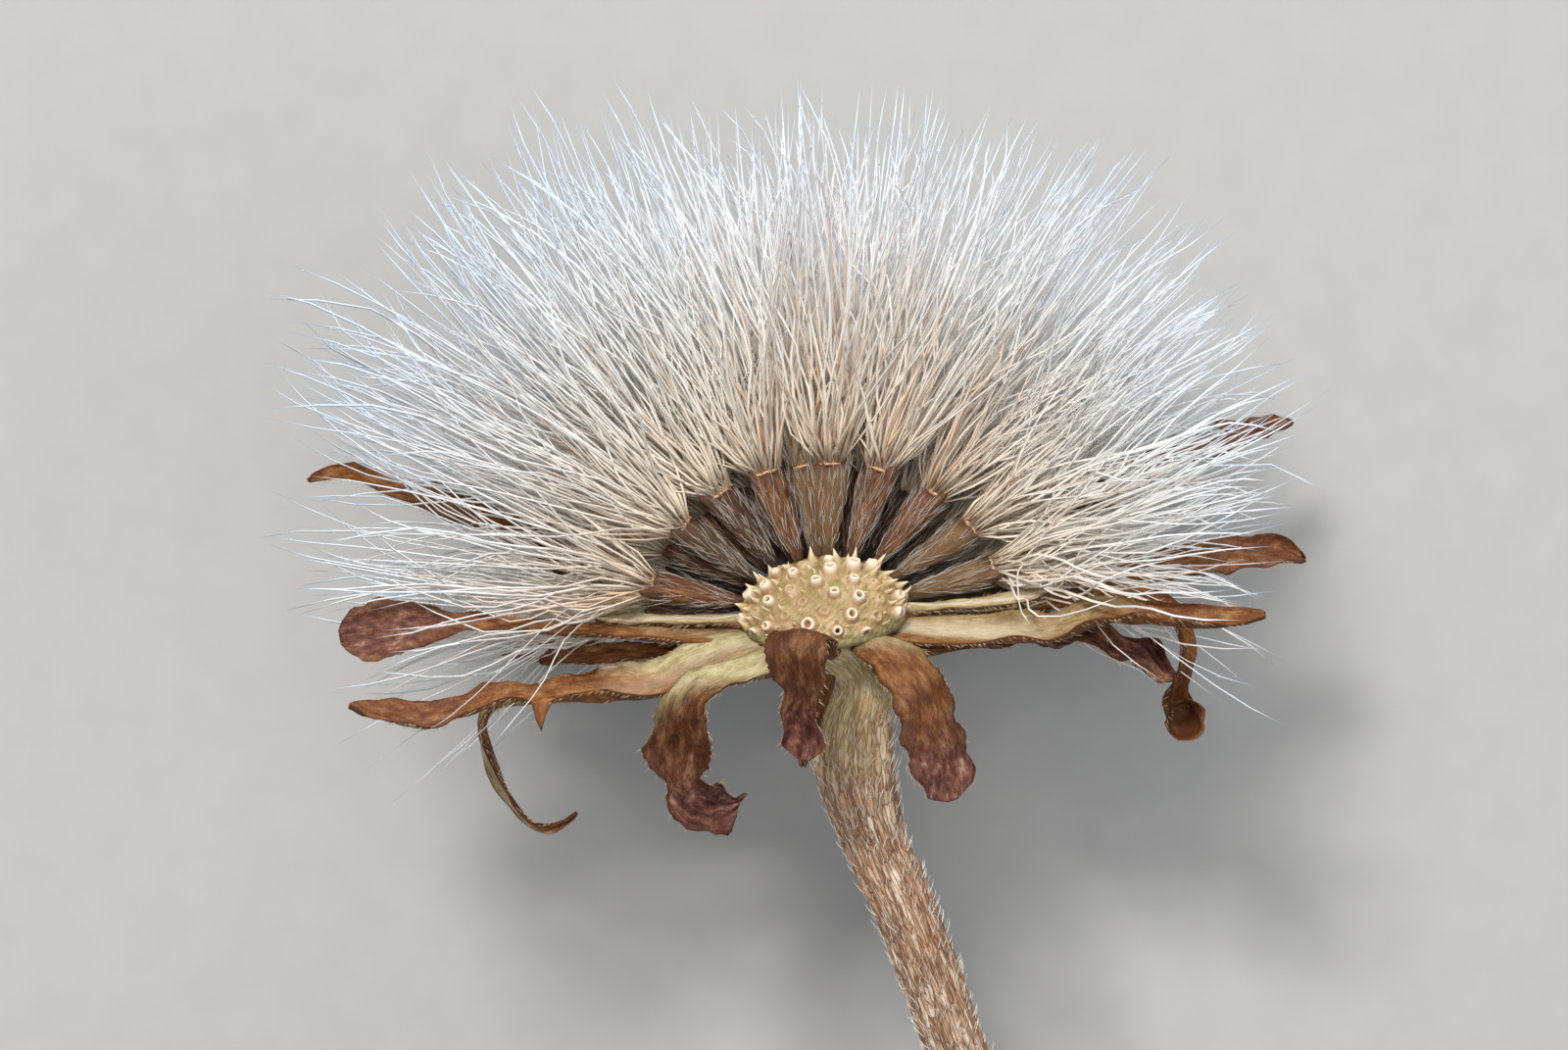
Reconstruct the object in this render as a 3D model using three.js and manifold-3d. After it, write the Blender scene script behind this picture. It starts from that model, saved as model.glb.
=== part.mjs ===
// A ripe aster seed head on a short cut stem, lying on its back on a table.
//
// Millimetres, +Z up from the table. The flower is modelled upright in a group of its own: +Z runs up
// the flower's axis from the middle of the receptacle's rim, +X to the right and +Y to the back, away
// from the side whose fruits have already flown. That group is then tipped back, so that the flower
// rests on two bracts and on the end of its stem, with the open side up.
import * as THREE from "three";
import { mergeVertices } from "three/addons/utils/BufferGeometryUtils.js";
import Module from "manifold-3d";

const wasm = await Module();
wasm.setup();

const { Vector3, Vector2 } = THREE;
const radians = THREE.MathUtils.degToRad;

// ---- Driving dimensions ----------------------------------------------------------------------------

const AXIS_RISE = radians(20); // the flower's axis above the table, as it lies
const HEAD_LEAN = radians(5); // the head leans to its left of the line of its stem
const REST_HEIGHT = 9.6; // middle of the receptacle above the table
const TABLE_GAP = 0.05; // what doesn't carry the flower stays this far above the table

const RECEPTACLE_RADIUS = 1.75;
const RECEPTACLE_HEIGHT = 1.15;
const RECEPTACLE_SKIRT = 0.12; // depth of the rim below the dome
const SCAR_RADIUS = 0.17; // foot of the raised scar that a fallen fruit leaves
const SCAR_HEIGHT = 0.16;
const TOOTH_HEIGHT = 0.42; // pointed scales that stand between the scars

const FLORETS = 64; // fruits that the whole head set
const LOWEST_POLAR = radians(97); // the rim's fruits point a little below level
const SPIRAL_START = radians(20);
const OPEN_SIDE = 0.1; // fruits that lean further than this towards the open side have flown

const ACHENE_LENGTH = 1.95;
const ACHENE_WIDTH = 0.74;
const ACHENE_DEPTH = 0.52;
const CORE_GAP = 0.04; // between the receptacle and the bases of the fruits
const CORE_THICKNESS = 0.16;

const PAPPUS_GAP = 0.03; // between a fruit's top and its tuft
const PAPPUS_RING = 0.3; // radius of the ring that the bristles stand on
const PAPPUS_REACH = 11.15; // from the receptacle's middle to the bristle tips
const PAPPUS_PEAK = 0.9; // the head reaches this much further up and to the left
const REACH_SPREAD = 0.9; // how far the tips differ in reach
const FAN_LIMIT = radians(21); // how far a tuft opens where no other stands beside it
const BRISTLE_CLEARANCE = 0.12;

const BRACT_THICKNESS = 0.6;
// Distance of each row's feet from the axis, and their height below the receptacle's rim.
const BRACT_ROWS = { inner: { start: 1.15, level: -0.43 }, outer: { start: 1.3, level: -0.92 } };
const BRACT_SEGMENTS = 10;
const COURSE_STEPS = 60; // the course of a bract is added up in this many steps

const STEM_SIDES = 18;
const STEM_RIB = 0.05; // how far the stem's ridges stand out, as a share of its radius

// ---- Shared helpers --------------------------------------------------------------------------------

// A repeatable number from 0 to 1 for each pair of whole numbers.
function chance(index, kind) {
  const wave = Math.sin(index * 127.1 + kind * 311.7) * 43758.5453;
  return wave - Math.floor(wave);
}

// Height above the table of a point of the upright flower, and the way up from the table there.
const tableUp = new Vector3(0, -Math.cos(AXIS_RISE), Math.sin(AXIS_RISE));
function heightAboveTable(point) {
  return REST_HEIGHT + point.dot(tableUp);
}

// What would sink into the table is pressed up until it lies `gap` above it.
function pressUp(point, gap) {
  const short = gap - heightAboveTable(point);
  return short > 0 ? point.addScaledVector(tableUp, short) : point;
}

function geometryOf(points, triangles) {
  const geometry = new THREE.BufferGeometry();
  geometry.setAttribute("position", new THREE.Float32BufferAttribute(points.flatMap((p) => p.toArray()), 3));
  geometry.setIndex(triangles.flat());
  geometry.computeVertexNormals();
  return geometry;
}

// A closed skin over rings of equally many points, with a flat fan over each end.
function skinOver(rings) {
  const sides = rings[0].length;
  const triangles = [];
  for (let r = 0; r + 1 < rings.length; r++) {
    for (let s = 0; s < sides; s++) {
      const here = r * sides + s;
      const beside = r * sides + ((s + 1) % sides);
      triangles.push([here, beside, beside + sides], [here, beside + sides, here + sides]);
    }
  }
  const last = (rings.length - 1) * sides;
  for (let s = 1; s + 1 < sides; s++) {
    triangles.push([0, s + 1, s], [last, last + s, last + s + 1]);
  }
  return geometryOf(rings.flat(), triangles);
}

// The points round a section, in the plane of `side` and `face` about `centre`.
function sectionAt(centre, side, face, outline) {
  return outline.map((p) => centre.clone().addScaledVector(side, p.x).addScaledVector(face, p.y));
}

function ovalOutline(sides, width, depth, swell = () => 1) {
  return Array.from({ length: sides }, (_, i) => {
    const angle = (i / sides) * 2 * Math.PI;
    return new Vector2((Math.cos(angle) * width) / 2, (Math.sin(angle) * depth) / 2).multiplyScalar(swell(i));
  });
}

function solidOf(geometry) {
  const bare = geometry.clone();
  bare.deleteAttribute("normal");
  bare.deleteAttribute("uv");
  const merged = mergeVertices(bare, 1e-4);
  const mesh = new wasm.Mesh({
    numProp: 3,
    vertProperties: merged.attributes.position.array,
    triVerts: new Uint32Array(merged.index.array),
  });
  return new wasm.Manifold(mesh);
}

function geometryFrom(solid) {
  const mesh = solid.getMesh();
  const geometry = new THREE.BufferGeometry();
  geometry.setAttribute("position", new THREE.BufferAttribute(mesh.vertProperties, 3));
  geometry.setIndex(new THREE.BufferAttribute(mesh.triVerts, 1));
  geometry.computeVertexNormals();
  return geometry;
}

// A point or geometry made along +Z, stood on `foot` and turned so that +Z runs along `way` and +X level.
function standingOn(foot, way) {
  const level = new Vector3(0, 0, 1).cross(way);
  const side = (level.lengthSq() < 1e-6 ? new Vector3(1, 0, 0) : level).normalize();
  return new THREE.Matrix4().makeBasis(side, way.clone().cross(side), way).setPosition(foot);
}

// ---- Materials -------------------------------------------------------------------------------------

const stemSkin = new THREE.MeshStandardMaterial({ color: 0xa98a5f, roughness: 0.8, metalness: 0 });
const receptacleFlesh = new THREE.MeshStandardMaterial({ color: 0xd9c58e, roughness: 0.6, metalness: 0 });
const acheneShell = new THREE.MeshStandardMaterial({ color: 0x6b4427, roughness: 0.65, metalness: 0 });
const pappusHair = new THREE.MeshStandardMaterial({ color: 0xf1ece2, roughness: 0.4, metalness: 0 });
const dryBract = new THREE.MeshStandardMaterial({ color: 0x9a6138, roughness: 0.7, metalness: 0 });
const palerBract = new THREE.MeshStandardMaterial({ color: 0xb48a52, roughness: 0.7, metalness: 0 });

// ---- Florets: where each fruit stands, by the spiral of a composite flower --------------------------

const openSide = new Vector3(0, -Math.cos(AXIS_RISE), Math.sin(AXIS_RISE));
const GOLDEN_ANGLE = Math.PI * (3 - Math.sqrt(5));

// A point on the dome, `lift` above its surface, `polar` from the axis and `turn` round it.
function onDome(polar, turn, lift = 0) {
  const across = Math.sin(polar) * (RECEPTACLE_RADIUS + lift);
  const up = Math.cos(polar) * (RECEPTACLE_HEIGHT + lift);
  return new Vector3(Math.cos(turn) * across, Math.sin(turn) * across, up);
}

const florets = Array.from({ length: FLORETS }, (_, index) => {
  const share = (index + 0.5) / FLORETS;
  const polar = Math.acos(1 - share * (1 - Math.cos(LOWEST_POLAR)));
  const turn = index * GOLDEN_ANGLE + SPIRAL_START;
  const domePolar = (polar * Math.PI) / 2 / LOWEST_POLAR;
  const way = new Vector3(Math.sin(polar) * Math.cos(turn), Math.sin(polar) * Math.sin(turn), Math.cos(polar));
  const flown = way.dot(openSide) > OPEN_SIDE;
  return { index, turn, domePolar, way, flown };
});
const fruits = florets.filter((f) => !f.flown);
const scars = florets.filter((f) => f.flown);

// ---- Receptacle: a low dome with a scar for each fruit that has flown -------------------------------

const DOME_SIDES = 30;
const DOME_BANDS = 7;
const SCAR_SIDES = 6;
const TOOTH_SIDES = 3;
const ROOT_DEPTH = 0.08; // scars and teeth start this far inside the dome

function domeProfile(lift) {
  const points = [new Vector2(0, -RECEPTACLE_SKIRT), new Vector2(RECEPTACLE_RADIUS - 0.1, -RECEPTACLE_SKIRT)];
  for (let band = 0; band <= DOME_BANDS; band++) {
    const polar = (Math.PI / 2) * (1 - band / DOME_BANDS);
    const across = band === DOME_BANDS ? 0 : Math.sin(polar) * (RECEPTACLE_RADIUS + lift);
    points.push(new Vector2(across, Math.cos(polar) * (RECEPTACLE_HEIGHT + lift)));
  }
  return points;
}

// LatheGeometry turns about Y, so it is tipped up to turn about Z.
function latheAboutZ(profile, sides) {
  return new THREE.LatheGeometry(profile, sides).rotateX(Math.PI / 2);
}

function scarSolid(floret) {
  const height = SCAR_HEIGHT + ROOT_DEPTH;
  const cone = new THREE.CylinderGeometry(SCAR_RADIUS * 0.62, SCAR_RADIUS, height, SCAR_SIDES).rotateX(Math.PI / 2);
  cone.translate(0, 0, height / 2 - ROOT_DEPTH);
  return solidOf(cone.applyMatrix4(standingOn(onDome(floret.domePolar, floret.turn), floret.way)));
}

// A pointed scale stands half a step round the spiral from each scar.
function toothSolid(floret) {
  const turn = floret.turn + GOLDEN_ANGLE * 2.5;
  const polar = Math.min(floret.domePolar + 0.08, Math.PI / 2 - 0.06);
  const height = TOOTH_HEIGHT * (0.6 + 0.6 * chance(floret.index, 1));
  const cone = new THREE.ConeGeometry(0.09, height + ROOT_DEPTH, TOOTH_SIDES).rotateX(Math.PI / 2);
  cone.translate(0, 0, height / 2 - ROOT_DEPTH);
  const foot = onDome(polar, turn);
  return solidOf(cone.applyMatrix4(standingOn(foot, foot.clone().normalize())));
}

// A scale stands only on the open side, clear of the fruits that are still there.
function isOpenAt(floret) {
  const foot = onDome(floret.domePolar, floret.turn + GOLDEN_ANGLE * 2.5).normalize();
  return foot.dot(openSide) > OPEN_SIDE + 0.25;
}

function makeReceptacle() {
  let solid = solidOf(latheAboutZ(domeProfile(0), DOME_SIDES));
  for (const floret of scars) {
    solid = solid.add(scarSolid(floret));
    if (isOpenAt(floret)) solid = solid.add(toothSolid(floret));
  }
  return new THREE.Mesh(geometryFrom(solid), receptacleFlesh);
}

// ---- Achenes: the fruits that are left, standing out of the thin brown layer that holds their feet ---

const ACHENE_SIDES = 8;
// Share of the length, and of the widest section, from the foot to the rim of the top.
const ACHENE_PROFILE = [
  [0, 0.36],
  [0.3, 0.62],
  [0.68, 0.97],
  [0.9, 1],
  [1, 0.86],
];

function fruitFoot(floret) {
  return onDome(floret.domePolar, floret.turn, CORE_GAP + 0.02);
}

function fruitTop(floret) {
  return fruitFoot(floret).addScaledVector(floret.way, ACHENE_LENGTH);
}

function acheneSolid(floret) {
  const rings = ACHENE_PROFILE.map(([share, swell]) =>
    ovalOutline(ACHENE_SIDES, ACHENE_WIDTH * swell, ACHENE_DEPTH * swell).map(
      (p) => new Vector3(p.x, p.y, share * ACHENE_LENGTH),
    ),
  );
  return solidOf(skinOver(rings).applyMatrix4(standingOn(fruitFoot(floret), floret.way)));
}

// The layer covers the dome on the side that still bears fruits.
function coreSolid() {
  const outer = solidOf(latheAboutZ(domeProfile(CORE_GAP + CORE_THICKNESS), DOME_SIDES));
  const inner = solidOf(latheAboutZ(domeProfile(CORE_GAP), DOME_SIDES).scale(1.001, 1.001, 1.001));
  const side = RECEPTACLE_RADIUS * 3;
  const block = new THREE.BoxGeometry(side, side, side);
  block.translate(0, side / 2, 0);
  block.rotateX(-Math.atan2(openSide.z, -openSide.y));
  block.translate(0, 0.1, 0);
  const above = new THREE.BoxGeometry(side, side, side).translate(0, 0, side / 2 + 0.02);
  return outer.subtract(inner).intersect(solidOf(block)).intersect(solidOf(above));
}

function makeAchenes() {
  let solid = coreSolid();
  for (const floret of fruits) solid = solid.add(acheneSolid(floret));
  return new THREE.Mesh(geometryFrom(solid), acheneShell);
}

// ---- Bracts: two rows of dry leaf-like blades under the head ---------------------------------------

// Each bract starts at its `azimuth` (0 is the open side, 90 the right) and follows its `course`: at each
// share of the length, how steeply it rises and how far it has turned from straight out, in degrees.
// `widths` are those of its foot, waist and blade. `twist` is how far the blade has rolled over at its tip.
const BRACTS = {
  inner_front: {
    azimuth: 8, length: 4.9, widths: [0.5, 0.8, 1.1], twist: 0,
    course: [
      [0, 0, -20], [0.2, 2, -20], [0.38, 24, -24], [0.52, -15, -28],
      [0.66, -86, -28], [0.9, -100, -28], [1, -60, -28],
    ],
  },
  inner_front_right: {
    azimuth: 38, length: 4.75, widths: [0.5, 1.1, 1.5], twist: 0,
    course: [[0, 0, -10], [0.28, -4, -6], [0.45, -45, -2], [0.62, -76, 4], [1, -72, -2]],
  },
  inner_right_front: {
    azimuth: 68, length: 8.4, widths: [0.5, 0.8, 0.7], twist: 16,
    course: [
      [0, 0, 8], [0.42, 0, 8], [0.5, 24, 8], [0.56, 17, 8],
      [0.63, -3, 8], [0.78, -8, 8], [0.86, 3, 8], [1, 4, 8],
    ],
  },
  inner_right: {
    azimuth: 99, length: 9.4, widths: [0.5, 0.6, 0.75], twist: 0,
    course: [
      [0, 0, -9], [0.2, 4, -9], [0.55, 1, -9], [0.62, -30, -9],
      [0.7, -66, -9], [0.8, -104, -9], [0.9, -118, -9], [1, -95, -9],
    ],
  },
  inner_right_back: {
    azimuth: 128, length: 11.8, widths: [0.5, 0.7, 0.85], twist: 10,
    course: [[0, -10, -4], [0.26, -6, -4], [0.36, 30, -6], [0.6, 22, -8], [0.75, 2, -8], [1, -5, -8]],
  },
  inner_back_right: {
    azimuth: 158, length: 9.8, widths: [0.5, 0.7, 1.0], twist: 0,
    course: [[0, -2, 3], [0.5, -4, 3], [1, 4, 3]],
  },
  inner_back: {
    azimuth: 188, length: 7.6, widths: [0.5, 0.7, 0.95], twist: 12,
    course: [[0, -5, 0], [0.6, -5, 0], [1, 30, 0]],
  },
  inner_back_left: {
    azimuth: 218, length: 10.2, widths: [0.5, 0.7, 1.0], twist: 0,
    course: [[0, -6, -13], [0.5, -6, -13], [1, 5, -13]],
  },
  inner_left_back: {
    azimuth: 244, length: 12.0, widths: [0.5, 0.65, 0.62], twist: 0,
    course: [
      [0, -9, -3], [0.25, -5, -3], [0.34, 42, -3], [0.47, 39, -3],
      [0.58, 16, -3], [0.86, 13, -3], [0.93, -6, -3], [1, -30, -3],
    ],
  },
  inner_left: {
    azimuth: 278, length: 9.1, widths: [0.5, 0.55, 1.3], twist: -58,
    course: [[0, 2, -8], [0.2, 9, -8], [0.6, 10, -8], [0.75, 3, -8], [0.88, -4, -8], [1, -6, -8]],
  },
  inner_left_front: {
    azimuth: 308, length: 9.4, widths: [0.6, 0.8, 0.85], twist: -15,
    course: [
      [0, -8, -28], [0.22, -13, -28], [0.36, 4, -28], [0.58, 9, -28],
      [0.68, -8, -28], [0.78, -8, -28], [0.86, 16, -28], [1, 23, -28],
    ],
  },
  inner_front_left: {
    azimuth: 338, length: 6.9, widths: [0.5, 0.85, 1.3], twist: -30,
    course: [
      [0, 2, -26], [0.2, 5, -30], [0.34, 4, -34], [0.47, -46, -36],
      [0.58, -88, -36], [0.74, -96, -36], [0.87, -140, -34], [1, -200, -34],
    ],
  },
  outer_front: {
    azimuth: 353, length: 2.2, widths: [0.45, 0.7, 0.6], twist: 0,
    course: [[0, -45, -10], [0.3, -76, -10], [1, -84, -10]],
  },
  outer_front_right: {
    azimuth: 53, length: 2.6, widths: [0.45, 0.6, 0.6], twist: 0,
    course: [[0, -25, 0], [0.4, -60, 0], [1, -80, 0]],
  },
  outer_right_front: {
    azimuth: 81, length: 6.3, widths: [0.45, 0.6, 0.7], twist: 25,
    course: [[0, -10, 3], [0.3, -4, 3], [0.58, 4, 3], [0.72, -22, 1], [0.86, -34, -4], [1, -12, -8]],
  },
  outer_right: {
    azimuth: 113, length: 9.8, widths: [0.45, 0.7, 0.85], twist: 35,
    course: [[0, -2, -5], [0.3, 3, -5], [0.45, 8, -5], [0.7, 0, -5], [0.9, -12, -5], [1, -30, -5]],
  },
  outer_right_back: {
    azimuth: 146, length: 8.6, widths: [0.45, 0.6, 0.8], twist: 0,
    course: [[0, -8, -4], [0.4, 4, -4], [1, 12, -4]],
  },
  outer_back_right: {
    azimuth: 173, length: 7.4, widths: [0.45, 0.6, 0.8], twist: 0,
    course: [[0, -14, 0], [0.5, -22, 0], [1, 10, 0]],
  },
  outer_back_left: {
    azimuth: 203, length: 7.0, widths: [0.45, 0.6, 0.8], twist: 0,
    course: [[0, -16, 0], [0.5, -26, 0], [1, -5, 0]],
  },
  outer_left_back: {
    azimuth: 231, length: 7.8, widths: [0.45, 0.6, 0.7], twist: 0,
    course: [[0, -12, 2], [0.5, -10, 2], [1, -8, 2]],
  },
  outer_left: {
    azimuth: 263, length: 5.2, widths: [0.45, 0.6, 0.65], twist: 0,
    course: [[0, -4, 0], [0.5, 4, 0], [1, 2, 0]],
  },
  outer_left_front: {
    azimuth: 293, length: 9.2, widths: [0.4, 0.36, 0.34], twist: 0,
    course: [
      [0, -6, -26], [0.5, -1, -26], [0.58, -60, -26], [0.74, -98, -26],
      [0.84, -125, -26], [0.92, -185, -26], [1, -215, -26],
    ],
  },
};

const FOOT_END = 0.14; // shares of the length where the foot ends, the waist sits and the blade is widest
const WAIST_AT = 0.5;
const BLADE_AT = 0.84;
const TIP_SHARE = 0.3; // the tip's section, as a share of the blade's

// A value read off [share, value...] rows, straight between them.
function along(rows, share, column) {
  const next = Math.max(1, rows.findIndex((row) => row[0] >= share));
  const [before, after] = [rows[next - 1], rows[next]];
  return THREE.MathUtils.mapLinear(share, before[0], after[0], before[column], after[column]);
}

function bladeWidth(widths, share) {
  const [foot, waist, blade] = widths;
  const swell = Math.max(waist, foot) * 1.1;
  const rows = [[0, foot], [FOOT_END, swell], [WAIST_AT, waist], [BLADE_AT, blade], [1, blade * TIP_SHARE]];
  return along(rows, share, 1);
}

function bladeThickness(share) {
  return BRACT_THICKNESS * along([[0, 0.68], [0.25, 1], [0.8, 1], [1, 0.35]], share, 1);
}

// The middle line of a bract, with the way across it and the way its upper face looks at each point.
function bractLine(bract, row) {
  const azimuth = radians(bract.azimuth);
  const { start, level } = BRACT_ROWS[row];
  const place = new Vector3(Math.sin(azimuth) * start, -Math.cos(azimuth) * start, level);
  const stations = [];
  for (let step = 0; step <= COURSE_STEPS; step++) {
    const share = step / COURSE_STEPS;
    const rise = radians(along(bract.course, share, 1));
    const heading = azimuth + radians(along(bract.course, share, 2));
    const out = new Vector3(Math.sin(heading), -Math.cos(heading), 0);
    const side = new Vector3(Math.cos(heading), Math.sin(heading), 0);
    const way = out.clone().multiplyScalar(Math.cos(rise)).setZ(Math.sin(rise));
    const roll = radians(bract.twist) * THREE.MathUtils.smoothstep(share, 0.3, 1);
    side.applyAxisAngle(way, roll);
    stations.push({ share, centre: place.clone(), side, face: way.clone().cross(side) });
    place.addScaledVector(way, bract.length / COURSE_STEPS);
  }
  return stations;
}

// The section is an arched lens: six points, thickest in the middle, with its margins lifted.
function bladeOutline(width, thickness) {
  const margin = thickness * 0.22;
  const lift = thickness * 0.1;
  return [
    new Vector2(-width / 2, lift - margin),
    new Vector2(0, -thickness / 2),
    new Vector2(width / 2, lift - margin),
    new Vector2(width / 2, lift + margin),
    new Vector2(0, thickness / 2),
    new Vector2(-width / 2, lift + margin),
  ];
}

const PROPS = ["inner_back_right", "inner_back_left"]; // the two bracts that carry the head
const bractLines = {};
for (const [name, bract] of Object.entries(BRACTS)) bractLines[name] = bractLine(bract, name.split("_")[0]);

function makeBract(name) {
  const { widths } = BRACTS[name];
  const gap = PROPS.includes(name) ? 0 : TABLE_GAP;
  const rings = bractLines[name]
    .filter((_, step) => step % (COURSE_STEPS / BRACT_SEGMENTS) === 0)
    .map(({ share, centre, side, face }) =>
      sectionAt(centre, side, face, bladeOutline(bladeWidth(widths, share), bladeThickness(share))).map((p) =>
        pressUp(p, gap),
      ),
    );
  const skin = name.startsWith("inner") ? palerBract : dryBract;
  return new THREE.Mesh(skinOver(rings), skin);
}

// ---- Pappus: a tuft of bristles on each fruit ------------------------------------------------------

const TUFT_SPOKES = 12;
// Bristles stand in three circles of twelve. Each circle's share of the tuft's spread keeps their tips even.
const TUFT_CIRCLES = { middle: 0.4, between: 0.7, rim: 0.93 };
const CELL_STEP = radians(1);

const tuftWays = fruits.map((floret) => fruitTop(floret).normalize());

function leaning(way, towards, angle) {
  return way.clone().multiplyScalar(Math.cos(angle)).addScaledVector(towards, Math.sin(angle));
}

// How far a tuft may open to one side before its bristles would stand among another's.
function roomTowards(own, towards) {
  let angle = CELL_STEP;
  while (angle < FAN_LIMIT) {
    const way = leaning(tuftWays[own], towards, angle + CELL_STEP);
    if (tuftWays.some((other, i) => i !== own && other.dot(way) > tuftWays[own].dot(way))) break;
    angle += CELL_STEP;
  }
  return angle;
}

function meetsBract(from, to) {
  const line = new THREE.Line3(from, to);
  const nearest = new Vector3();
  return Object.entries(bractLines).some(([name, stations]) =>
    stations.some(({ share, centre }, step) => {
      if (step % 3) return false;
      const reach = Math.max(bladeWidth(BRACTS[name].widths, share), bladeThickness(share)) / 2;
      line.closestPointToPoint(centre, true, nearest);
      return nearest.distanceTo(centre) < reach + BRISTLE_CLEARANCE;
    }),
  );
}

const axisUp = new Vector3(0, 0, 1);
const peakWay = new Vector3(-0.62, 0, 0.78).normalize();
const LEAN_TRIES = 5;

// A bristle's tip. One that would run into a bract leans up towards the axis until it is clear of it, and
// one that would have to lean far is left out.
function bristleTip(base, wayOut, index) {
  const peak = PAPPUS_PEAK * Math.max(0, wayOut.dot(peakWay)) ** 8;
  const reach = PAPPUS_REACH + peak + REACH_SPREAD * (chance(index, 2) - 0.5);
  const way = wayOut.clone();
  for (let tries = 0; tries < LEAN_TRIES; tries++) {
    const tip = pressUp(way.clone().multiplyScalar(reach), TABLE_GAP);
    if (!meetsBract(base, tip)) return tip;
    way.addScaledVector(axisUp, 0.05).normalize();
  }
  return null;
}

// Whether two bristles, each a three-sided spike on its own corners, would pass through each other.
function cross(one, other) {
  if (one.tip.distanceTo(other.tip) > PAPPUS_REACH / 2) return false;
  const hit = new Vector3();
  return [[one, other], [other, one]].some(([edges, faces]) =>
    edges.corners.some((corner) => {
      const edge = edges.tip.clone().sub(corner);
      const ray = new THREE.Ray(corner, edge.clone().normalize());
      return faces.corners.some((start, i) => {
        const end = faces.corners[(i + 1) % 3];
        const met = ray.intersectTriangle(start, end, faces.tip, false, hit);
        const share = met ? hit.distanceTo(corner) / edge.length() : 0;
        return share > 1e-4 && share < 1;
      });
    }),
  );
}

const bristles = []; // those that stand already

function makeTuft(floret, own) {
  const way = tuftWays[own];
  const stand = standingOn(fruitTop(floret).addScaledVector(floret.way, PAPPUS_GAP), floret.way);
  const ring = (radius, height) =>
    ovalOutline(TUFT_SPOKES, radius * 2, radius * 1.5).map((p) => new Vector3(p.x, p.y, height));
  const points = [
    ...ring(PAPPUS_RING * 0.8, 0),
    ...ring(PAPPUS_RING, 0.08),
    ...ring(PAPPUS_RING * 0.58, 0.15),
    new Vector3(0, 0, 0.18),
  ].map((p) => p.applyMatrix4(stand));
  const [foot, rim, between, top] = [0, TUFT_SPOKES, 2 * TUFT_SPOKES, 3 * TUFT_SPOKES];

  const triangles = [];
  const bristle = (corners, circle, count) => {
    const middle = new Vector3();
    corners.forEach((c) => middle.addScaledVector(points[c], 1 / 3));
    const towards = middle.clone().sub(points[top]).projectOnPlane(way).normalize();
    const angle = roomTowards(own, towards) * circle;
    const spike = { corners: corners.map((c) => points[c]) };
    spike.tip = bristleTip(middle, leaning(way, towards, angle), own * 100 + count);
    if (!spike.tip || bristles.some((other) => cross(spike, other))) {
      triangles.push(corners);
      return;
    }
    bristles.push(spike);
    const tip = points.push(spike.tip) - 1;
    corners.forEach((c, i) => triangles.push([c, corners[(i + 1) % 3], tip]));
  };
  for (let s = 0; s < TUFT_SPOKES; s++) {
    const t = (s + 1) % TUFT_SPOKES;
    if (s > 0 && s + 1 < TUFT_SPOKES) triangles.push([foot, foot + s + 1, foot + s]);
    triangles.push([foot + s, foot + t, rim + t], [foot + s, rim + t, rim + s]);
    bristle([rim + s, rim + t, between + t], TUFT_CIRCLES.rim, s);
    bristle([rim + s, between + t, between + s], TUFT_CIRCLES.between, s + TUFT_SPOKES);
    bristle([between + s, between + t, top], TUFT_CIRCLES.middle, s + 2 * TUFT_SPOKES);
  }
  return new THREE.Mesh(geometryOf(points, triangles), pappusHair);
}

// ---- Stem: ribbed, narrow under the head, swollen below it, and bent to lie along the table ----------

// Places down the stem's middle line: how far right of the axis, how far down it, and the radius there.
const STEM_COURSE = [
  [0.14, -0.32, 0.84],
  [0.18, -0.52, 0.78],
  [0.4, -0.85, 0.62],
  [0.7, -1.45, 0.53],
  [0.5, -2.3, 0.74],
  [0.38, -3.2, 0.85],
  [0.6, -5, 0.7],
  [1.1, -6.6, 0.66],
  [1.98, -10, 0.65],
  [3.2, -15, 0.64],
  [4.4, -20, 0.64],
  [5.2, -23.6, 0.64],
  [5.6, -26, 0.64],
  [5.95, -28.4, 0.64],
  [6.2, -30.5, 0.64],
];
const STEM_BEND = 0.8; // the bend starts this far above where the straight stem would lie on the table

// The stem comes down straight and bends smoothly until it lies along the table.
function stemPlace([x, z, radius]) {
  const centre = new Vector3(x, 0, z);
  const straight = heightAboveTable(centre) - radius;
  const eased = straight > STEM_BEND ? straight : Math.max(0, straight + STEM_BEND) ** 2 / (4 * STEM_BEND);
  centre.y = (straight - eased) / Math.cos(AXIS_RISE);
  return { centre, radius };
}

function makeStem() {
  const stations = STEM_COURSE.map(stemPlace);
  const curve = new THREE.CatmullRomCurve3(stations.map((s) => s.centre), false, "centripetal");
  const rings = [];
  const steps = (stations.length - 1) * 2;
  for (let step = 0; step <= steps; step++) {
    const at = step / steps;
    const spot = at * (stations.length - 1);
    const low = Math.min(Math.floor(spot), stations.length - 2);
    const radius = THREE.MathUtils.lerp(stations[low].radius, stations[low + 1].radius, spot - low);
    const way = curve.getTangent(at).multiply(new Vector3(0.5, 0.5, 1)).normalize();
    const side = new Vector3(0, 1, 0).cross(way).normalize();
    const rib = step === 0 || step === steps ? 0 : STEM_RIB;
    const outline = ovalOutline(STEM_SIDES, radius * 2, radius * 2, (i) => (i % 2 ? 1 - rib : 1 + rib));
    rings.push(sectionAt(curve.getPoint(at), side, way.clone().cross(side), outline).map((p) => pressUp(p, 0)));
  }
  return new THREE.Mesh(skinOver(rings), stemSkin);
}

// ---- Assembly --------------------------------------------------------------------------------------

const head = new THREE.Group();
function add(name, mesh) {
  mesh.name = name;
  head.add(mesh);
}

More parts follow.
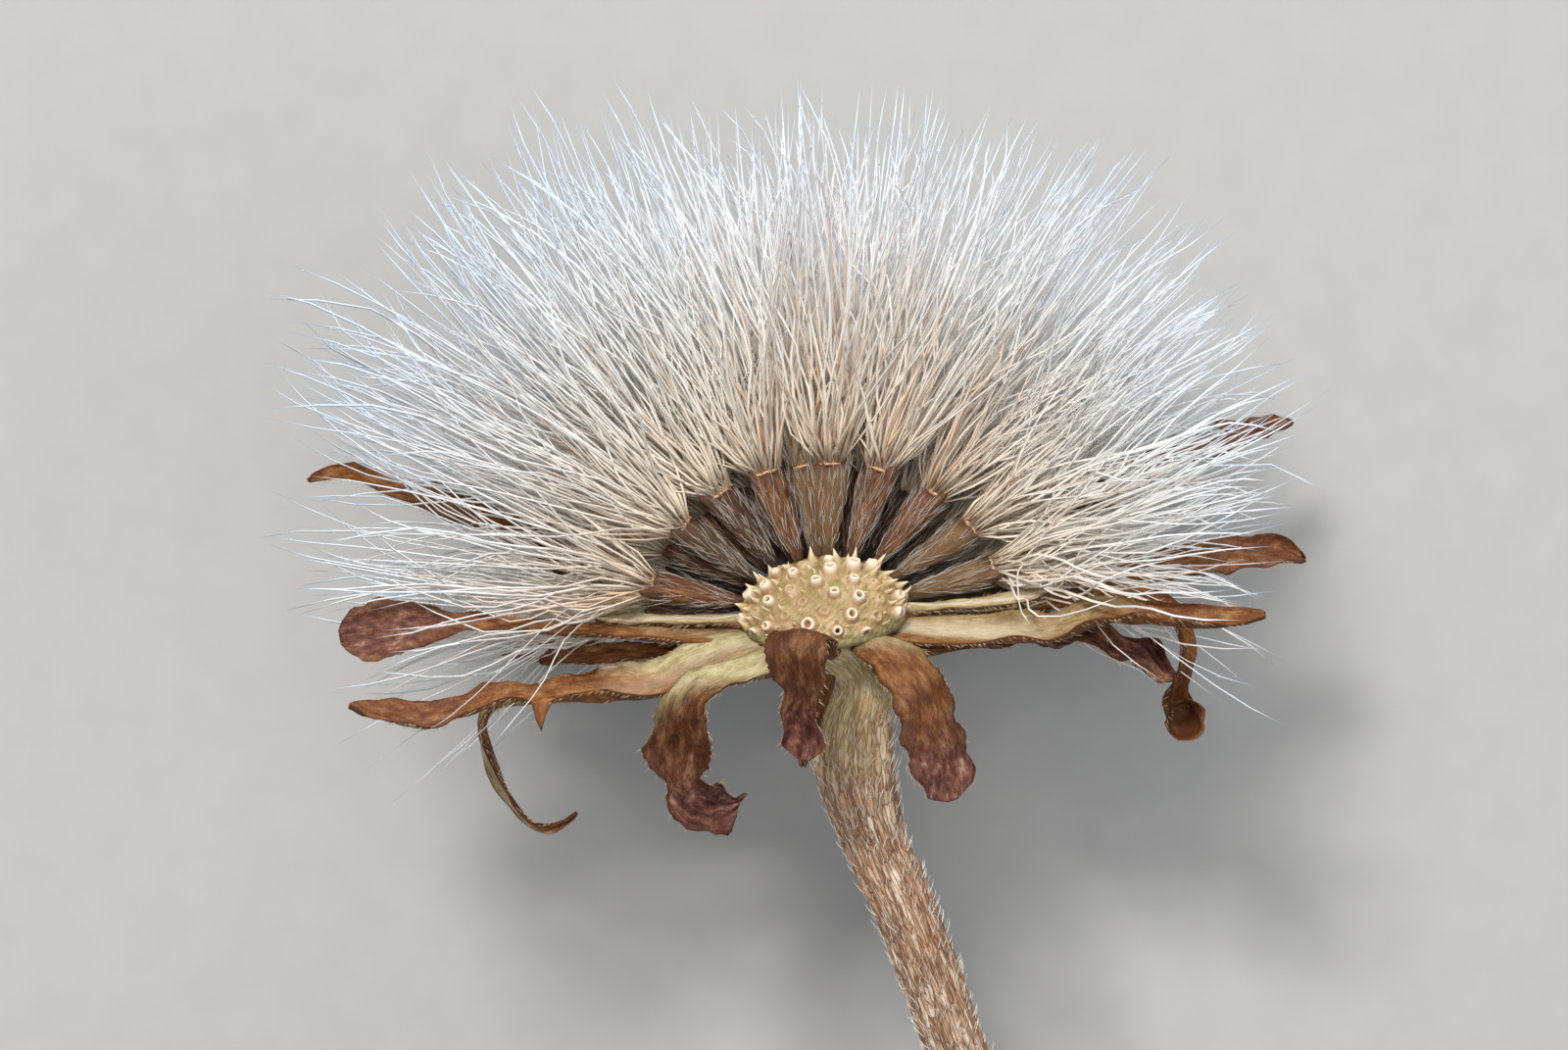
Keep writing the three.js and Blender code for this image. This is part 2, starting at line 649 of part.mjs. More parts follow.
add("receptacle", makeReceptacle());
add("achenes", makeAchenes());
fruits.forEach((floret, own) => add(`pappus_${String(own + 1).padStart(2, "0")}`, makeTuft(floret, own)));
for (const name of Object.keys(BRACTS)) add(`bract_${name}`, makeBract(name));
add("stem", makeStem());

// Tipped onto its back, and turned so that the stem runs away as it grew.
head.rotation.set(AXIS_RISE - Math.PI / 2, 0, HEAD_LEAN, "ZYX");

// The origin is on the table, under the middle of the part's box.
const flower = new THREE.Group();
flower.add(head);
flower.updateMatrixWorld(true);
const box = new THREE.Box3().setFromObject(flower, true);
const middle = box.getCenter(new Vector3());
flower.position.set(-middle.x, -middle.y, REST_HEIGHT);

export default flower;
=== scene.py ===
import math

import bpy
import numpy as np
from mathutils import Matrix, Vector


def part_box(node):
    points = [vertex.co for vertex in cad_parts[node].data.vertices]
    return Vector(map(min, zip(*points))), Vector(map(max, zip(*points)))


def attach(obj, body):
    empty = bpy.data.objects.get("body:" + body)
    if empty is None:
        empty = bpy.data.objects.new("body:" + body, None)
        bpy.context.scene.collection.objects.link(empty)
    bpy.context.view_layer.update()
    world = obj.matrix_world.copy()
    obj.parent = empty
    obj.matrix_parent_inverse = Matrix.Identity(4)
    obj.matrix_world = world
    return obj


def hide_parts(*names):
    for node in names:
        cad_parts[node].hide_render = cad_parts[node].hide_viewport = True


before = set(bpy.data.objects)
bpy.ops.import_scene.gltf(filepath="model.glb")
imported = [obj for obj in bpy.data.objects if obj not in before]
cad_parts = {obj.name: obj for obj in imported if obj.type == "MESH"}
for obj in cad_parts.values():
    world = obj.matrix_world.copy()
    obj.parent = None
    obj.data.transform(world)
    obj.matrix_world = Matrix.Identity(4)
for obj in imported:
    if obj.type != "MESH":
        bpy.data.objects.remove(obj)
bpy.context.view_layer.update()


# ---- Stem ----
# The flower's own stalk, cut off short: a ridged, pithy stem, narrow under the head and swollen below
# it. It bends to lie along the table. Its dry skin is tan, yellower at the top, with pale hairs up it.

MM = 0.001
AXIS_RISE = math.radians(20)  # the flower's axis above the table
HEAD_LEAN = math.radians(5)  # and to the left of straight up the frame
REST_HEIGHT = 9.6  # mm, middle of the receptacle above the table
TABLE_GAP = 0.05

# The upright flower's frame: +Z up its axis, +X right, +Y to the back. Its middle is found from the
# receptacle, and it is tipped back from there onto the table.
TIP = AXIS_RISE - math.pi / 2
TURN = np.array(
    [
        [math.cos(HEAD_LEAN), -math.sin(HEAD_LEAN) * math.cos(TIP), math.sin(HEAD_LEAN) * math.sin(TIP)],
        [math.sin(HEAD_LEAN), math.cos(HEAD_LEAN) * math.cos(TIP), -math.cos(HEAD_LEAN) * math.sin(TIP)],
        [0, math.sin(TIP), math.cos(TIP)],
    ]
)
RECEPTACLE_CORNER = np.array([1.8503, 0.7440, 1.6445])  # from the receptacle's lowest corner to its middle
MIDDLE = np.array(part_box("receptacle")[0]) / MM + RECEPTACLE_CORNER
TABLE_UP = np.array([0, -math.cos(AXIS_RISE), math.sin(AXIS_RISE)])


def unit(vectors):
    """Each vector at a length of 1."""
    return vectors / np.maximum(np.linalg.norm(vectors, axis=-1, keepdims=True), 1e-12)


def ease(share, low, high):
    """0 below `low`, 1 above `high` and a smooth step between them."""
    step = np.clip((share - low) / (high - low), 0, 1)
    return step * step * (3 - 2 * step)


def along(values, place):
    """What stands at a place: one value for all, a row of them spread from 0 to 1, or {place: value}."""
    if not isinstance(values, dict):
        values = np.atleast_1d(values)
        values = dict(zip(np.linspace(0, 1, len(values)), values))
    return np.interp(place, list(values), list(values.values()))


def chance(index, kind):
    """A repeatable number from 0 to 1 for each index, another for each kind of thing drawn."""
    return np.mod(np.sin(np.asarray(index) * 127.1 + kind * 311.7) * 43758.5453, 1)


def chances(index, *kinds):
    return np.stack([chance(index, kind) for kind in kinds], -1)


def hump(away, width):
    """1 in the middle and falling off smoothly to either side."""
    return np.exp(-((away / width) ** 2))


def press_up(points, gap=0.0):
    """What would sink into the table lies on it, `gap` above it."""
    short = gap - (REST_HEIGHT + points @ TABLE_UP)
    return points + np.maximum(short, 0)[..., None] * TABLE_UP


class Reading:
    """A value that a finish's nodes give. Sums can be written with it."""

    def __init__(self, finish, socket):
        self.finish = finish
        self.socket = socket

    def sum(self, operation, one, other):
        return self.finish.node("ShaderNodeMath", {"operation": operation}, {0: one, 1: other})

    def __add__(self, other):
        return self.sum("ADD", self, other)

    def __sub__(self, other):
        return self.sum("SUBTRACT", self, other)

    def __rsub__(self, other):
        return self.sum("SUBTRACT", other, self)

    def __mul__(self, other):
        return self.sum("MULTIPLY", self, other)

    __radd__ = __add__
    __rmul__ = __mul__


def tone(code):
    """A colour's hex code as the linear colour that shaders take."""
    parts = [int(code[i : i + 2], 16) / 255 for i in (0, 2, 4)]
    return tuple(p / 12.92 if p <= 0.04045 else ((p + 0.055) / 1.055) ** 2.4 for p in parts) + (1.0,)


class Finish:
    """One skin of the flower: a Principled shader and the nodes that vary it."""

    def __init__(self, name, **even):
        self.material = bpy.data.materials.new(name)
        self.material.use_nodes = True
        self.tree = self.material.node_tree
        self.skin = self.tree.nodes["Principled BSDF"]
        self.set(**even)

    def set(self, **values):
        for key, value in values.items():
            self.feed(self.skin.inputs[key.replace("_", " ").title().replace("Ior", "IOR")], value)

    def feed(self, socket, value):
        if isinstance(value, Reading):
            self.tree.links.new(value.socket, socket)
        else:
            socket.default_value = tone(value) if isinstance(value, str) else value

    def node(self, kind, settings=None, sockets=None, out=0):
        made = self.tree.nodes.new(kind)
        for key, value in (settings or {}).items():
            setattr(made, key, value)
        for key, value in (sockets or {}).items():
            self.feed(made.inputs[key], value)
        return Reading(self, made.outputs[out])

    def mark(self, name, out="Fac"):
        return self.node("ShaderNodeAttribute", {"attribute_name": name}, out=out)

    def coated(self, colour, *coats):
        """A colour under coats of others, each laid on by its share."""
        for share, coat in coats:
            colour = self.node("ShaderNodeMix", {"data_type": "RGBA"}, {0: share, 6: colour, 7: coat}, out=2)
        return colour

    def ramp(self, value, *stops):
        """Colours for a value as it rises through the stops."""
        made = self.node("ShaderNodeValToRGB", None, {"Fac": value})
        elements = made.socket.node.color_ramp.elements
        for spot, _ in stops[1:-1]:
            elements.new(spot)
        for element, (spot, colour) in zip(elements, stops):
            element.position = spot
            element.color = tone(colour)
        return made

    def stretched(self, place, *scale):
        return self.node("ShaderNodeVectorMath", {"operation": "MULTIPLY"}, {0: place, 1: scale})

    def noise(self, place, scale, detail=3.0, rough=0.6, out=0):
        """Cloudy noise. `rough` says how strong its finer detail is."""
        sockets = {"Vector": place, "Scale": scale, "Detail": detail, "Roughness": rough}
        return self.node("ShaderNodeTexNoise", None, sockets, out)

    def shaken(self, place, scale, amount):
        """A place pushed about a little, so that what is drawn at it comes out uneven."""
        sockets = {0: self.noise(place, scale, 2.0, out=1), 1: (amount,) * 3, 2: place}
        return self.node("ShaderNodeVectorMath", {"operation": "MULTIPLY_ADD"}, sockets)

    def flakes(self, place, scale, feature="DISTANCE_TO_EDGE", out="Distance"):
        return self.node("ShaderNodeTexVoronoi", {"feature": feature}, {"Vector": place, "Scale": scale}, out)

    def bump(self, height, depth, strength):
        sockets = {"Height": height, "Distance": depth * MM, "Strength": strength}
        self.set(normal=self.node("ShaderNodeBump", None, sockets))


def put_in(name, data):
    """An object in the scene that shows a mesh, a light or a camera."""
    made = bpy.data.objects.new(name, data)
    bpy.context.collection.objects.link(made)
    return made


def piece(name, slot, replaced, *layers):
    """One object made of layers, each its points on the upright flower in mm, faces, finish and marks."""
    points, faces, finish_of, start = [], [], [], 0
    for number, (own, blocks, _, _) in enumerate(layers):
        own = own.reshape(-1, 3)
        for block in blocks:
            faces += (block.reshape(-1, block.shape[-1]) + start).tolist()
            finish_of += [number] * (block.size // block.shape[-1])
        points.append(own)
        start += len(own)
    mesh = bpy.data.meshes.new(name)
    mesh.from_pydata(((np.concatenate(points) @ TURN.T + MIDDLE) * MM).tolist(), [], faces)
    for _, _, finish, _ in layers:
        mesh.materials.append(finish.material)
    mesh.polygons.foreach_set("material_index", np.array(finish_of, np.int32))
    mesh.polygons.foreach_set("use_smooth", np.ones(len(faces), bool))
    for mark in sorted({key for *_, marks in layers for key in marks}):
        width, kind, field = (3, "FLOAT_VECTOR", "vector") if mark == "place" else (1, "FLOAT", "value")
        values = [
            np.broadcast_to(np.reshape(marks.get(mark, np.zeros(width)), (-1, width)), (len(own), width))
            for own, (*_, marks) in zip(points, layers)
        ]
        mesh.attributes.new(mark, kind, "POINT").data.foreach_set(field, np.concatenate(values).ravel())
    mesh.update()
    made = put_in(name, mesh)
    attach(made, "root")
    if replaced:
        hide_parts(*replaced)


def round_turn(sides):
    """The turns of points that stand evenly round a ring."""
    return 2 * np.pi * np.arange(sides) / sides


def ring_faces(rings, sides, closed=True):
    """Quads between rings of points, and round each ring if it is closed."""
    near = np.arange(rings - 1)[:, None] * sides
    around = np.arange(sides if closed else sides - 1)
    beside = (around + 1) % sides
    corners = [near + around, near + beside, near + sides + beside, near + sides + around]
    return np.stack(corners, -1).reshape(-1, 4)


def cap_faces(ring_start, sides, centre, flip=False):
    """A fan over the ring that starts at a point, about its middle point."""
    ring = ring_start + np.arange(sides)
    fan = np.stack([ring, np.roll(ring, -1), np.full(sides, centre)], -1)
    return fan[:, [1, 0, 2]] if flip else fan


def capped_faces(rings, sides, foot, top, flip=False):
    """Quads between rings, and a fan over each end about the middle points `foot` and `top`."""
    quads = ring_faces(rings, sides)
    return [
        quads[:, ::-1] if flip else quads,
        cap_faces(0, sides, foot, not flip),
        cap_faces((rings - 1) * sides, sides, top, flip),
    ]


def tube(rings, foot, top, flip=False):
    """Points and faces of rings of points that are closed over a middle point at each end."""
    points = np.concatenate([rings.reshape(-1, 3), [foot, top]])
    return points, capped_faces(*rings.shape[:2], len(points) - 2, len(points) - 1, flip)


def strands(lines, radii, sides=3):
    """Points and faces of thin tubes along lines, each closed at its foot and drawn out to a point.

    `lines` is (count, places, 3), and `radii` holds a row for each line or one row for them all.
    """
    count, places = lines.shape[:2]
    radii = np.atleast_2d(radii)
    way = unit(np.gradient(lines, axis=1))
    level = np.where(np.abs(way[:, :1, 2:]) < 0.8, [[[0, 0, 1.0]]], [[[1.0, 0, 0]]])
    aside = unit(np.cross(way, level))
    other = np.cross(way, aside)
    angle = round_turn(sides)
    spread = np.cos(angle)[:, None] * aside[:, :-1, None] + np.sin(angle)[:, None] * other[:, :-1, None]
    rings = lines[:, :-1, None] + radii[:, :-1, None, None] * spread
    each = (places - 1) * sides
    first = np.arange(count)[:, None, None] * (each + 1)
    quads = ring_faces(places - 1, sides) + first
    ends = cap_faces((places - 2) * sides, sides, each) + first
    feet = np.arange(sides)[::-1] + first[:, 0]
    return np.concatenate([rings.reshape(count, each, 3), lines[:, -1:]], axis=1), [quads, ends, feet]


def bent_lines(root, way, bend, places):
    """Lines that leave their roots along `way` and are carried off by `bend` towards the tip."""
    share = np.linspace(0, 1, places)[None, :, None]
    return root[:, None] + way[:, None] * share + bend[:, None] * share**2


def smooth_course(knots, count):
    """A smooth curve through rows of values, at `count` places evenly spaced by distance."""
    knots = np.asarray(knots, float)
    gaps = np.linalg.norm(np.diff(knots[:, :3], axis=0), axis=1)
    at = np.concatenate([[0], np.cumsum(gaps)])
    slopes = np.gradient(knots, at, axis=0)
    want = np.linspace(0, at[-1], count)
    low = np.clip(np.searchsorted(at, want, side="right") - 1, 0, len(at) - 2)
    width = (at[low + 1] - at[low])[:, None]
    t = (want - at[low])[:, None] / width
    return (
        (2 * t**3 - 3 * t**2 + 1) * knots[low]
        + (t**3 - 2 * t**2 + t) * width * slopes[low]
        + (3 * t**2 - 2 * t**3) * knots[low + 1]
        + (t**3 - t**2) * width * slopes[low + 1]
    )


STEM_COURSE = [  # right of the axis, down it, radius
    [0.14, -0.32, 0.84], [0.18, -0.52, 0.78], [0.4, -0.85, 0.62], [0.7, -1.45, 0.53], [0.5, -2.3, 0.74],
    [0.38, -3.2, 0.85], [0.6, -5, 0.7], [1.1, -6.6, 0.66], [1.98, -10, 0.65], [3.2, -15, 0.64],
    [4.4, -20, 0.64], [5.2, -23.6, 0.64], [5.6, -26, 0.64], [5.95, -28.4, 0.64], [6.2, -30.5, 0.64],
]
STEM_BEND = 0.8
STEM_SIDES = 108
STEM_RINGS = 320
STEM_RIDGES = 9
# The skin's radius in the grooves, and what ridges and fine lines add to it, as shares of the stem's.
GROOVE_RADIUS, RIDGE_HEIGHT, LINE_HEIGHT = 0.95, 0.085, 0.012
STEM_HAIRS = 3300
HAIR_LENGTH = (0.14, 0.38)
HAIR_TAPER = np.linspace(0.011, 0.0033, 5)
HAIR_TABLE_GAP = 0.012


def stem_line(count):
    rows = []
    for x, z, radius in STEM_COURSE:
        straight = REST_HEIGHT + math.sin(AXIS_RISE) * z - radius
        eased = straight if straight > STEM_BEND else max(0, straight + STEM_BEND) ** 2 / (4 * STEM_BEND)
        rows.append([x, (straight - eased) / math.cos(AXIS_RISE), z, radius])
    return smooth_course(rows, count)


def stem_radius(radius, turn, down):
    """The skin's radius and how high its ridge stands there. Ridges run down the stem and wander."""
    wander = 0.25 * np.sin(down * 0.35) + 0.15 * np.sin(down * 0.9 + 1)
    groove = np.abs(np.sin(STEM_RIDGES * turn / 2 + wander)) ** 0.8
    fine = np.cos(2 * STEM_RIDGES * turn + 3 * wander + 1.3) + np.cos(31 * turn + down * 0.7)
    knot = 0.012 * np.sin(down * 2.7 + 3 * turn) + 0.01 * np.sin(down * 6.1 - 5 * turn)
    return radius * (GROOVE_RADIUS + RIDGE_HEIGHT * groove + LINE_HEIGHT * fine + knot), groove


line = stem_line(STEM_RINGS)
stem_way = unit(unit(np.gradient(line[:, :3], axis=0)) * [0.5, 0.5, 1])
stem_side = unit(np.cross([0, 1.0, 0], stem_way))
stem_face = np.cross(stem_way, stem_side)
down = np.concatenate([[0], np.cumsum(np.linalg.norm(np.diff(line[:, :3], axis=0), axis=1))])
turn = round_turn(STEM_SIDES)
radius, ridge = stem_radius(line[:, 3:4], turn[None], down[:, None])
rings = (
    line[:, None, :3]
    + (radius * np.cos(turn))[..., None] * stem_side[:, None]
    + (radius * np.sin(turn))[..., None] * stem_face[:, None]
)
# The cut end sinks a little inside its rim.
inner = line[-1, :3] + (rings[-1] - line[-1, :3]) * 0.9
pith = line[-1, :3] + (rings[-1] - line[-1, :3]) * 0.5 - 0.08 * stem_way[-1]
rings = press_up(np.concatenate([rings, inner[None], pith[None]]))
points, blocks = tube(rings, line[0, :3], pith.mean(0))
long_way = np.repeat(np.concatenate([down, down[-1:], down[-1:]]), STEM_SIDES)
round_way = np.tile(turn, STEM_RINGS + 2)
place = np.stack([np.cos(round_way), np.sin(round_way), long_way], -1)
ridges = np.concatenate([ridge.ravel(), np.zeros(2 * STEM_SIDES)])
cut = np.repeat([0, 0.6, 1], [STEM_RINGS * STEM_SIDES, STEM_SIDES, STEM_SIDES])

stem_skin = Finish("stem_skin", roughness=0.62, specular_ior_level=0.35)
stem_place = stem_skin.mark("place", "Vector")
bark_place = stem_skin.shaken(stem_skin.stretched(stem_place, 3.6, 3.6, 0.8), 1.4, 0.9)
cracks = stem_skin.ramp(stem_skin.flakes(bark_place, 1.9), (0.0, "ffffff"), (0.12, "000000"))
flake = stem_skin.flakes(bark_place, 1.9, "F1", "Color")
streaks = stem_skin.noise(stem_skin.stretched(stem_place, 5.0, 5.0, 1.3), 2.6, 5.0, 0.7)
blotch = stem_skin.noise(stem_place, 0.9, 2.0)
high = stem_skin.ramp(stem_skin.mark("down") + 0.5 * blotch, (0.3, "ffffff"), (0.64, "000000"))
tan = stem_skin.ramp(
    0.35 * flake + 0.85 * streaks, (0.4, "7b5843"), (0.53, "ad8769"), (0.66, "d6b496"), (0.82, "fff0dc")
)
stem_skin.set(
    base_color=stem_skin.coated(
        tan,
        (0.55 * stem_skin.ramp(blotch, (0.48, "000000"), (0.7, "ffffff")), "c98f6c"),
        # Painted shade: the grooves between the ridges are darkened, less so towards the yellow top.
        ((1 - stem_skin.mark("ridge")) * (0.4 - 0.32 * high), "7c573a"),
        (high, stem_skin.ramp(streaks, (0.26, "c09a58"), (0.48, "f6da98"), (0.68, "fff5da"))),
        (cracks * (0.65 - 0.35 * high), "5c3a24"),
        (stem_skin.mark("cut"), "e2d5b0"),
    ),
    roughness=0.45 + 0.35 * streaks,
)
stem_skin.bump(streaks - 0.6 * cracks, 0.045, 0.9)

hair_skin = Finish("pale_hair", base_color="efe8da", roughness=0.38, specular_ior_level=0.5)

# Hairs root on the skin, leave it upwards and bend back towards it.
index = np.arange(STEM_HAIRS)
ring = (chance(index, 11) * (STEM_RINGS - 12) + 4).astype(int)
root_turn = chance(index, 12) * 2 * np.pi
reach = (HAIR_LENGTH[0] + (HAIR_LENGTH[1] - HAIR_LENGTH[0]) * chance(index, 13) ** 1.5)[:, None]
out = np.cos(root_turn)[:, None] * stem_side[ring] + np.sin(root_turn)[:, None] * stem_face[ring]
root_radius, _ = stem_radius(line[ring, 3], root_turn, down[ring])
root = line[ring, :3] + out * (root_radius - 0.01)[:, None]
lift = out * (0.25 + 0.75 * chance(index, 14))[:, None]
sway = np.cross(out, stem_way[ring]) * (chance(index, 15) - 0.5)[:, None]
hairs = bent_lines(root, reach * (lift - stem_way[ring]), reach * (sway - 0.45 * lift), len(HAIR_TAPER))
piece(
    "stem_with_hairs", "stem", ["stem"],
    (points, blocks, stem_skin, {
        "place": np.concatenate([place, np.zeros((2, 3))]),
        "ridge": np.concatenate([ridges, [0, 0]]),
        "down": np.concatenate([long_way, [0, down[-1]]]) / 10,
        "cut": np.concatenate([cut, [0, 1]]),
    }),
    (*strands(press_up(hairs, HAIR_TABLE_GAP), HAIR_TAPER), hair_skin, {}),
)


# ---- Receptacle ----
# The dome of pith that the fruits grew on. Each fruit that flew off left a raised ring with a hollow in
# its middle, and between the rings stand thin pointed scales. It is cream, greener at its rim.

RECEPTACLE_RADIUS = 1.75
RECEPTACLE_HEIGHT = 1.15
RECEPTACLE_SKIRT = 0.12
FLORETS = 64
LOWEST_POLAR = math.radians(97)  # how far from the axis the lowest florets look
SPIRAL_START = math.radians(20)
GOLDEN_ANGLE = math.pi * (3 - math.sqrt(5))
OPEN_SIDE = 0.1  # fruits that look up from the table by more than this have flown
DOME_TURNS = 360
DOME_BANDS = 150
NUB_RADIUS = 0.125
NUB_RISE = 0.17
PIT_RADIUS = 0.05
PIT_DEPTH = 0.15
SCALES = 190
SCALE_SIDES = 6
SCALE_TAPER = np.array([1, 0.78, 0.56, 0.38, 0.24, 0.13, 0])


def dome(polar, turn, radius, height):
    """Points on a dome, from its top at polar 0 to its rim, and round it."""
    across = np.sin(polar) * radius
    return np.stack([np.cos(turn) * across, np.sin(turn) * across, np.cos(polar) * height], -1)


def on_receptacle(polar, turn, lift=0.0):
    return dome(polar, turn, RECEPTACLE_RADIUS + lift, RECEPTACLE_HEIGHT + lift)


floret = np.arange(FLORETS)
floret_polar = np.arccos(1 - (floret + 0.5) / FLORETS * (1 - math.cos(LOWEST_POLAR)))
floret_turn = floret * GOLDEN_ANGLE + SPIRAL_START
dome_polar = floret_polar * math.pi / 2 / LOWEST_POLAR
floret_way = dome(floret_polar, floret_turn, 1, 1)
flown = floret_way @ TABLE_UP > OPEN_SIDE
floret_foot = on_receptacle(dome_polar, floret_turn)

polar = np.linspace(0.004, math.pi / 2, DOME_BANDS)[:, None]
turn = round_turn(DOME_TURNS)[None]
skin = on_receptacle(polar + 0 * turn, turn + 0 * polar)
outward = unit(skin / [RECEPTACLE_RADIUS**2, RECEPTACLE_RADIUS**2, RECEPTACLE_HEIGHT**2])
apart = np.linalg.norm(skin[:, :, None] - floret_foot, axis=-1)
nearest = apart.argmin(-1)
apart = apart.min(-1)
size = 0.78 + 0.4 * chance(nearest, 21)
proud = np.where(chance(nearest, 23) > 0.26, 1.0, 0.35)
wobble = 0.012 * np.sin(9 * turn + 7 * polar) + 0.01 * np.sin(23 * turn - 31 * polar)
wobble = wobble + 0.006 * np.sin(61 * turn + 55 * polar)
nub = 1 - ease(apart / size, NUB_RADIUS * 0.62, NUB_RADIUS * 1.5)
lip = hump(apart / size - NUB_RADIUS * 0.72, 0.034)
pit = 1 - ease(apart / size, PIT_RADIUS * 0.5, PIT_RADIUS * 1.5)
open_scar = flown[nearest]
rim = ease(polar, 1.35, math.pi / 2)
raised = proud * (size * (NUB_RISE * nub + 0.035 * lip) - PIT_DEPTH * pit) * (1 - rim)
raised = np.where(open_scar, raised, 0.3 * raised) + wobble
skin = skin + outward * raised[..., None]
skirt = skin[-1:] - [0, 0, RECEPTACLE_SKIRT]
under = skirt * [0.9, 0.9, 1]
skin = np.concatenate([skin, skirt, under])
points, blocks = tube(skin, [0, 0, skin[0, :, 2].mean()], [0, 0, -RECEPTACLE_SKIRT], flip=True)


def on_all(values, last=0.0):
    """A dome mark carried on to the skirt, the underside and the two middle points."""
    top = np.broadcast_to(values, (DOME_BANDS, DOME_TURNS)).ravel()
    return np.concatenate([top, np.full(2 * DOME_TURNS, last), [0, last]])


pith_skin = Finish("receptacle_pith", roughness=0.55, specular_ior_level=0.4)
spot = pith_skin.node("ShaderNodeTexCoord", out="Object")
grain = pith_skin.noise(spot, 2600, 4.0)
cloud = pith_skin.noise(spot, 700, 2.0)
pith_skin.set(
    base_color=pith_skin.coated(
        pith_skin.ramp(cloud, (0.3, "866b45"), (0.45, "a3875f"), (0.6, "bc9f79"), (0.8, "cdb394")),
        # Darker and olive between the nubs: the pith's own greener tone there, and painted shade on the low
        # ground between them.
        (pith_skin.mark("valley") * (0.3 + 0.8 * cloud), "7d7340"),
        # Painted shade: a brown ring round the foot of each raised nub.
        (pith_skin.mark("neck") * 0.55, "845c38"),
        (pith_skin.mark("lip") * 0.9, "e8d8c0"),
        # The hollow of each open scar is orange-brown, and in some it is painted near black as the shade of a
        # deep hole.
        (pith_skin.mark("pit"), pith_skin.coated("9f6745", (pith_skin.mark("dark_pit"), "291710"))),
        (pith_skin.mark("rim"), "8b8158"),
    ),
    roughness=0.3 + 0.35 * grain,
)
pith_skin.bump(grain, 0.03, 0.7)

# Scales between the nubs, each a spike with a broad foot that leans a little towards the axis. They
# stand tallest round the edge of the bare part.
index = np.arange(SCALES)
tooth_polar = np.arccos(1 - (index + 0.9) / (SCALES + 1)) * 0.97
tooth_turn = index * GOLDEN_ANGLE + 1.1
foot = on_receptacle(tooth_polar, tooth_turn)
gap = np.linalg.norm(foot[:, None] - floret_foot[flown], axis=-1)
open_way = unit(foot) @ TABLE_UP
bare = (open_way > 0.02) & (gap.min(1) > 0.16)
near_edge = 1 - ease(open_way, 0.12, 0.62)
tooth = 0.1 + 0.14 * chance(index, 31) + (0.06 + 0.16 * chance(index, 39)) * near_edge
foot, tooth, near_edge, index = foot[bare], tooth[bare], near_edge[bare], index[bare]
stand = unit(foot + (chances(index, 32, 33, 34) - [0.5, 0.5, 0]) * 0.9)
hook = (chances(index, 35, 36, 37) - [0.5, 0.5, 0.3]) * 0.14
teeth = bent_lines(foot - stand * 0.05, stand * tooth[:, None], hook, len(SCALE_TAPER))
teeth_radii = SCALE_TAPER * (0.06 + 0.04 * chance(index, 38) + 0.1 * near_edge)[:, None]
tooth_along = np.append(np.repeat(np.linspace(0, 1, len(SCALE_TAPER))[:-1], SCALE_SIDES), 1)
tooth_skin = Finish("receptacle_scales", roughness=0.45)
tooth_tone = tooth_skin.ramp(tooth_skin.mark("along"), (0.0, "97804f"), (0.4, "b39a6d"), (1.0, "e6d6bf"))
tooth_skin.set(base_color=tooth_tone)
piece(
    "receptacle_pith", "receptacle", ["receptacle"],
    (points, blocks, pith_skin, {
        "lip": on_all(np.clip(lip * 1.2, 0, 1) * open_scar * proud**2),
        "pit": on_all(pit * open_scar * proud**2),
        # Painted shade: near black in some of the pits.
        "dark_pit": on_all(1.0 * (chance(nearest, 22) > 0.7)),
        # Painted shade round the foot of each raised nub.
        "neck": on_all(hump(apart / size - NUB_RADIUS * 1.35, 0.05) * open_scar * proud),
        # Olive tone with painted shade, on the low ground between the nubs.
        "valley": on_all(ease(apart, 0.17, 0.3)),
        "rim": on_all(rim * 0.9, 1.0),
    }),
    (*strands(teeth, teeth_radii, SCALE_SIDES), tooth_skin, {"along": np.tile(tooth_along, len(foot))}),
)


# ---- Bracts ----
# Two rows of leaf-like scales that wrapped the bud, now dry, bent back and curled. Each is a thin papery
# blade with a fleshy foot, pale green at the foot, ochre to brown along it and purple at the tip.

def spoon(*widths):
    """Widths of a plain blade: at its foot, above it, half way, at its broad end and at its tip."""
    return dict(zip((0, 0.14, 0.5, 0.84, 1), widths))
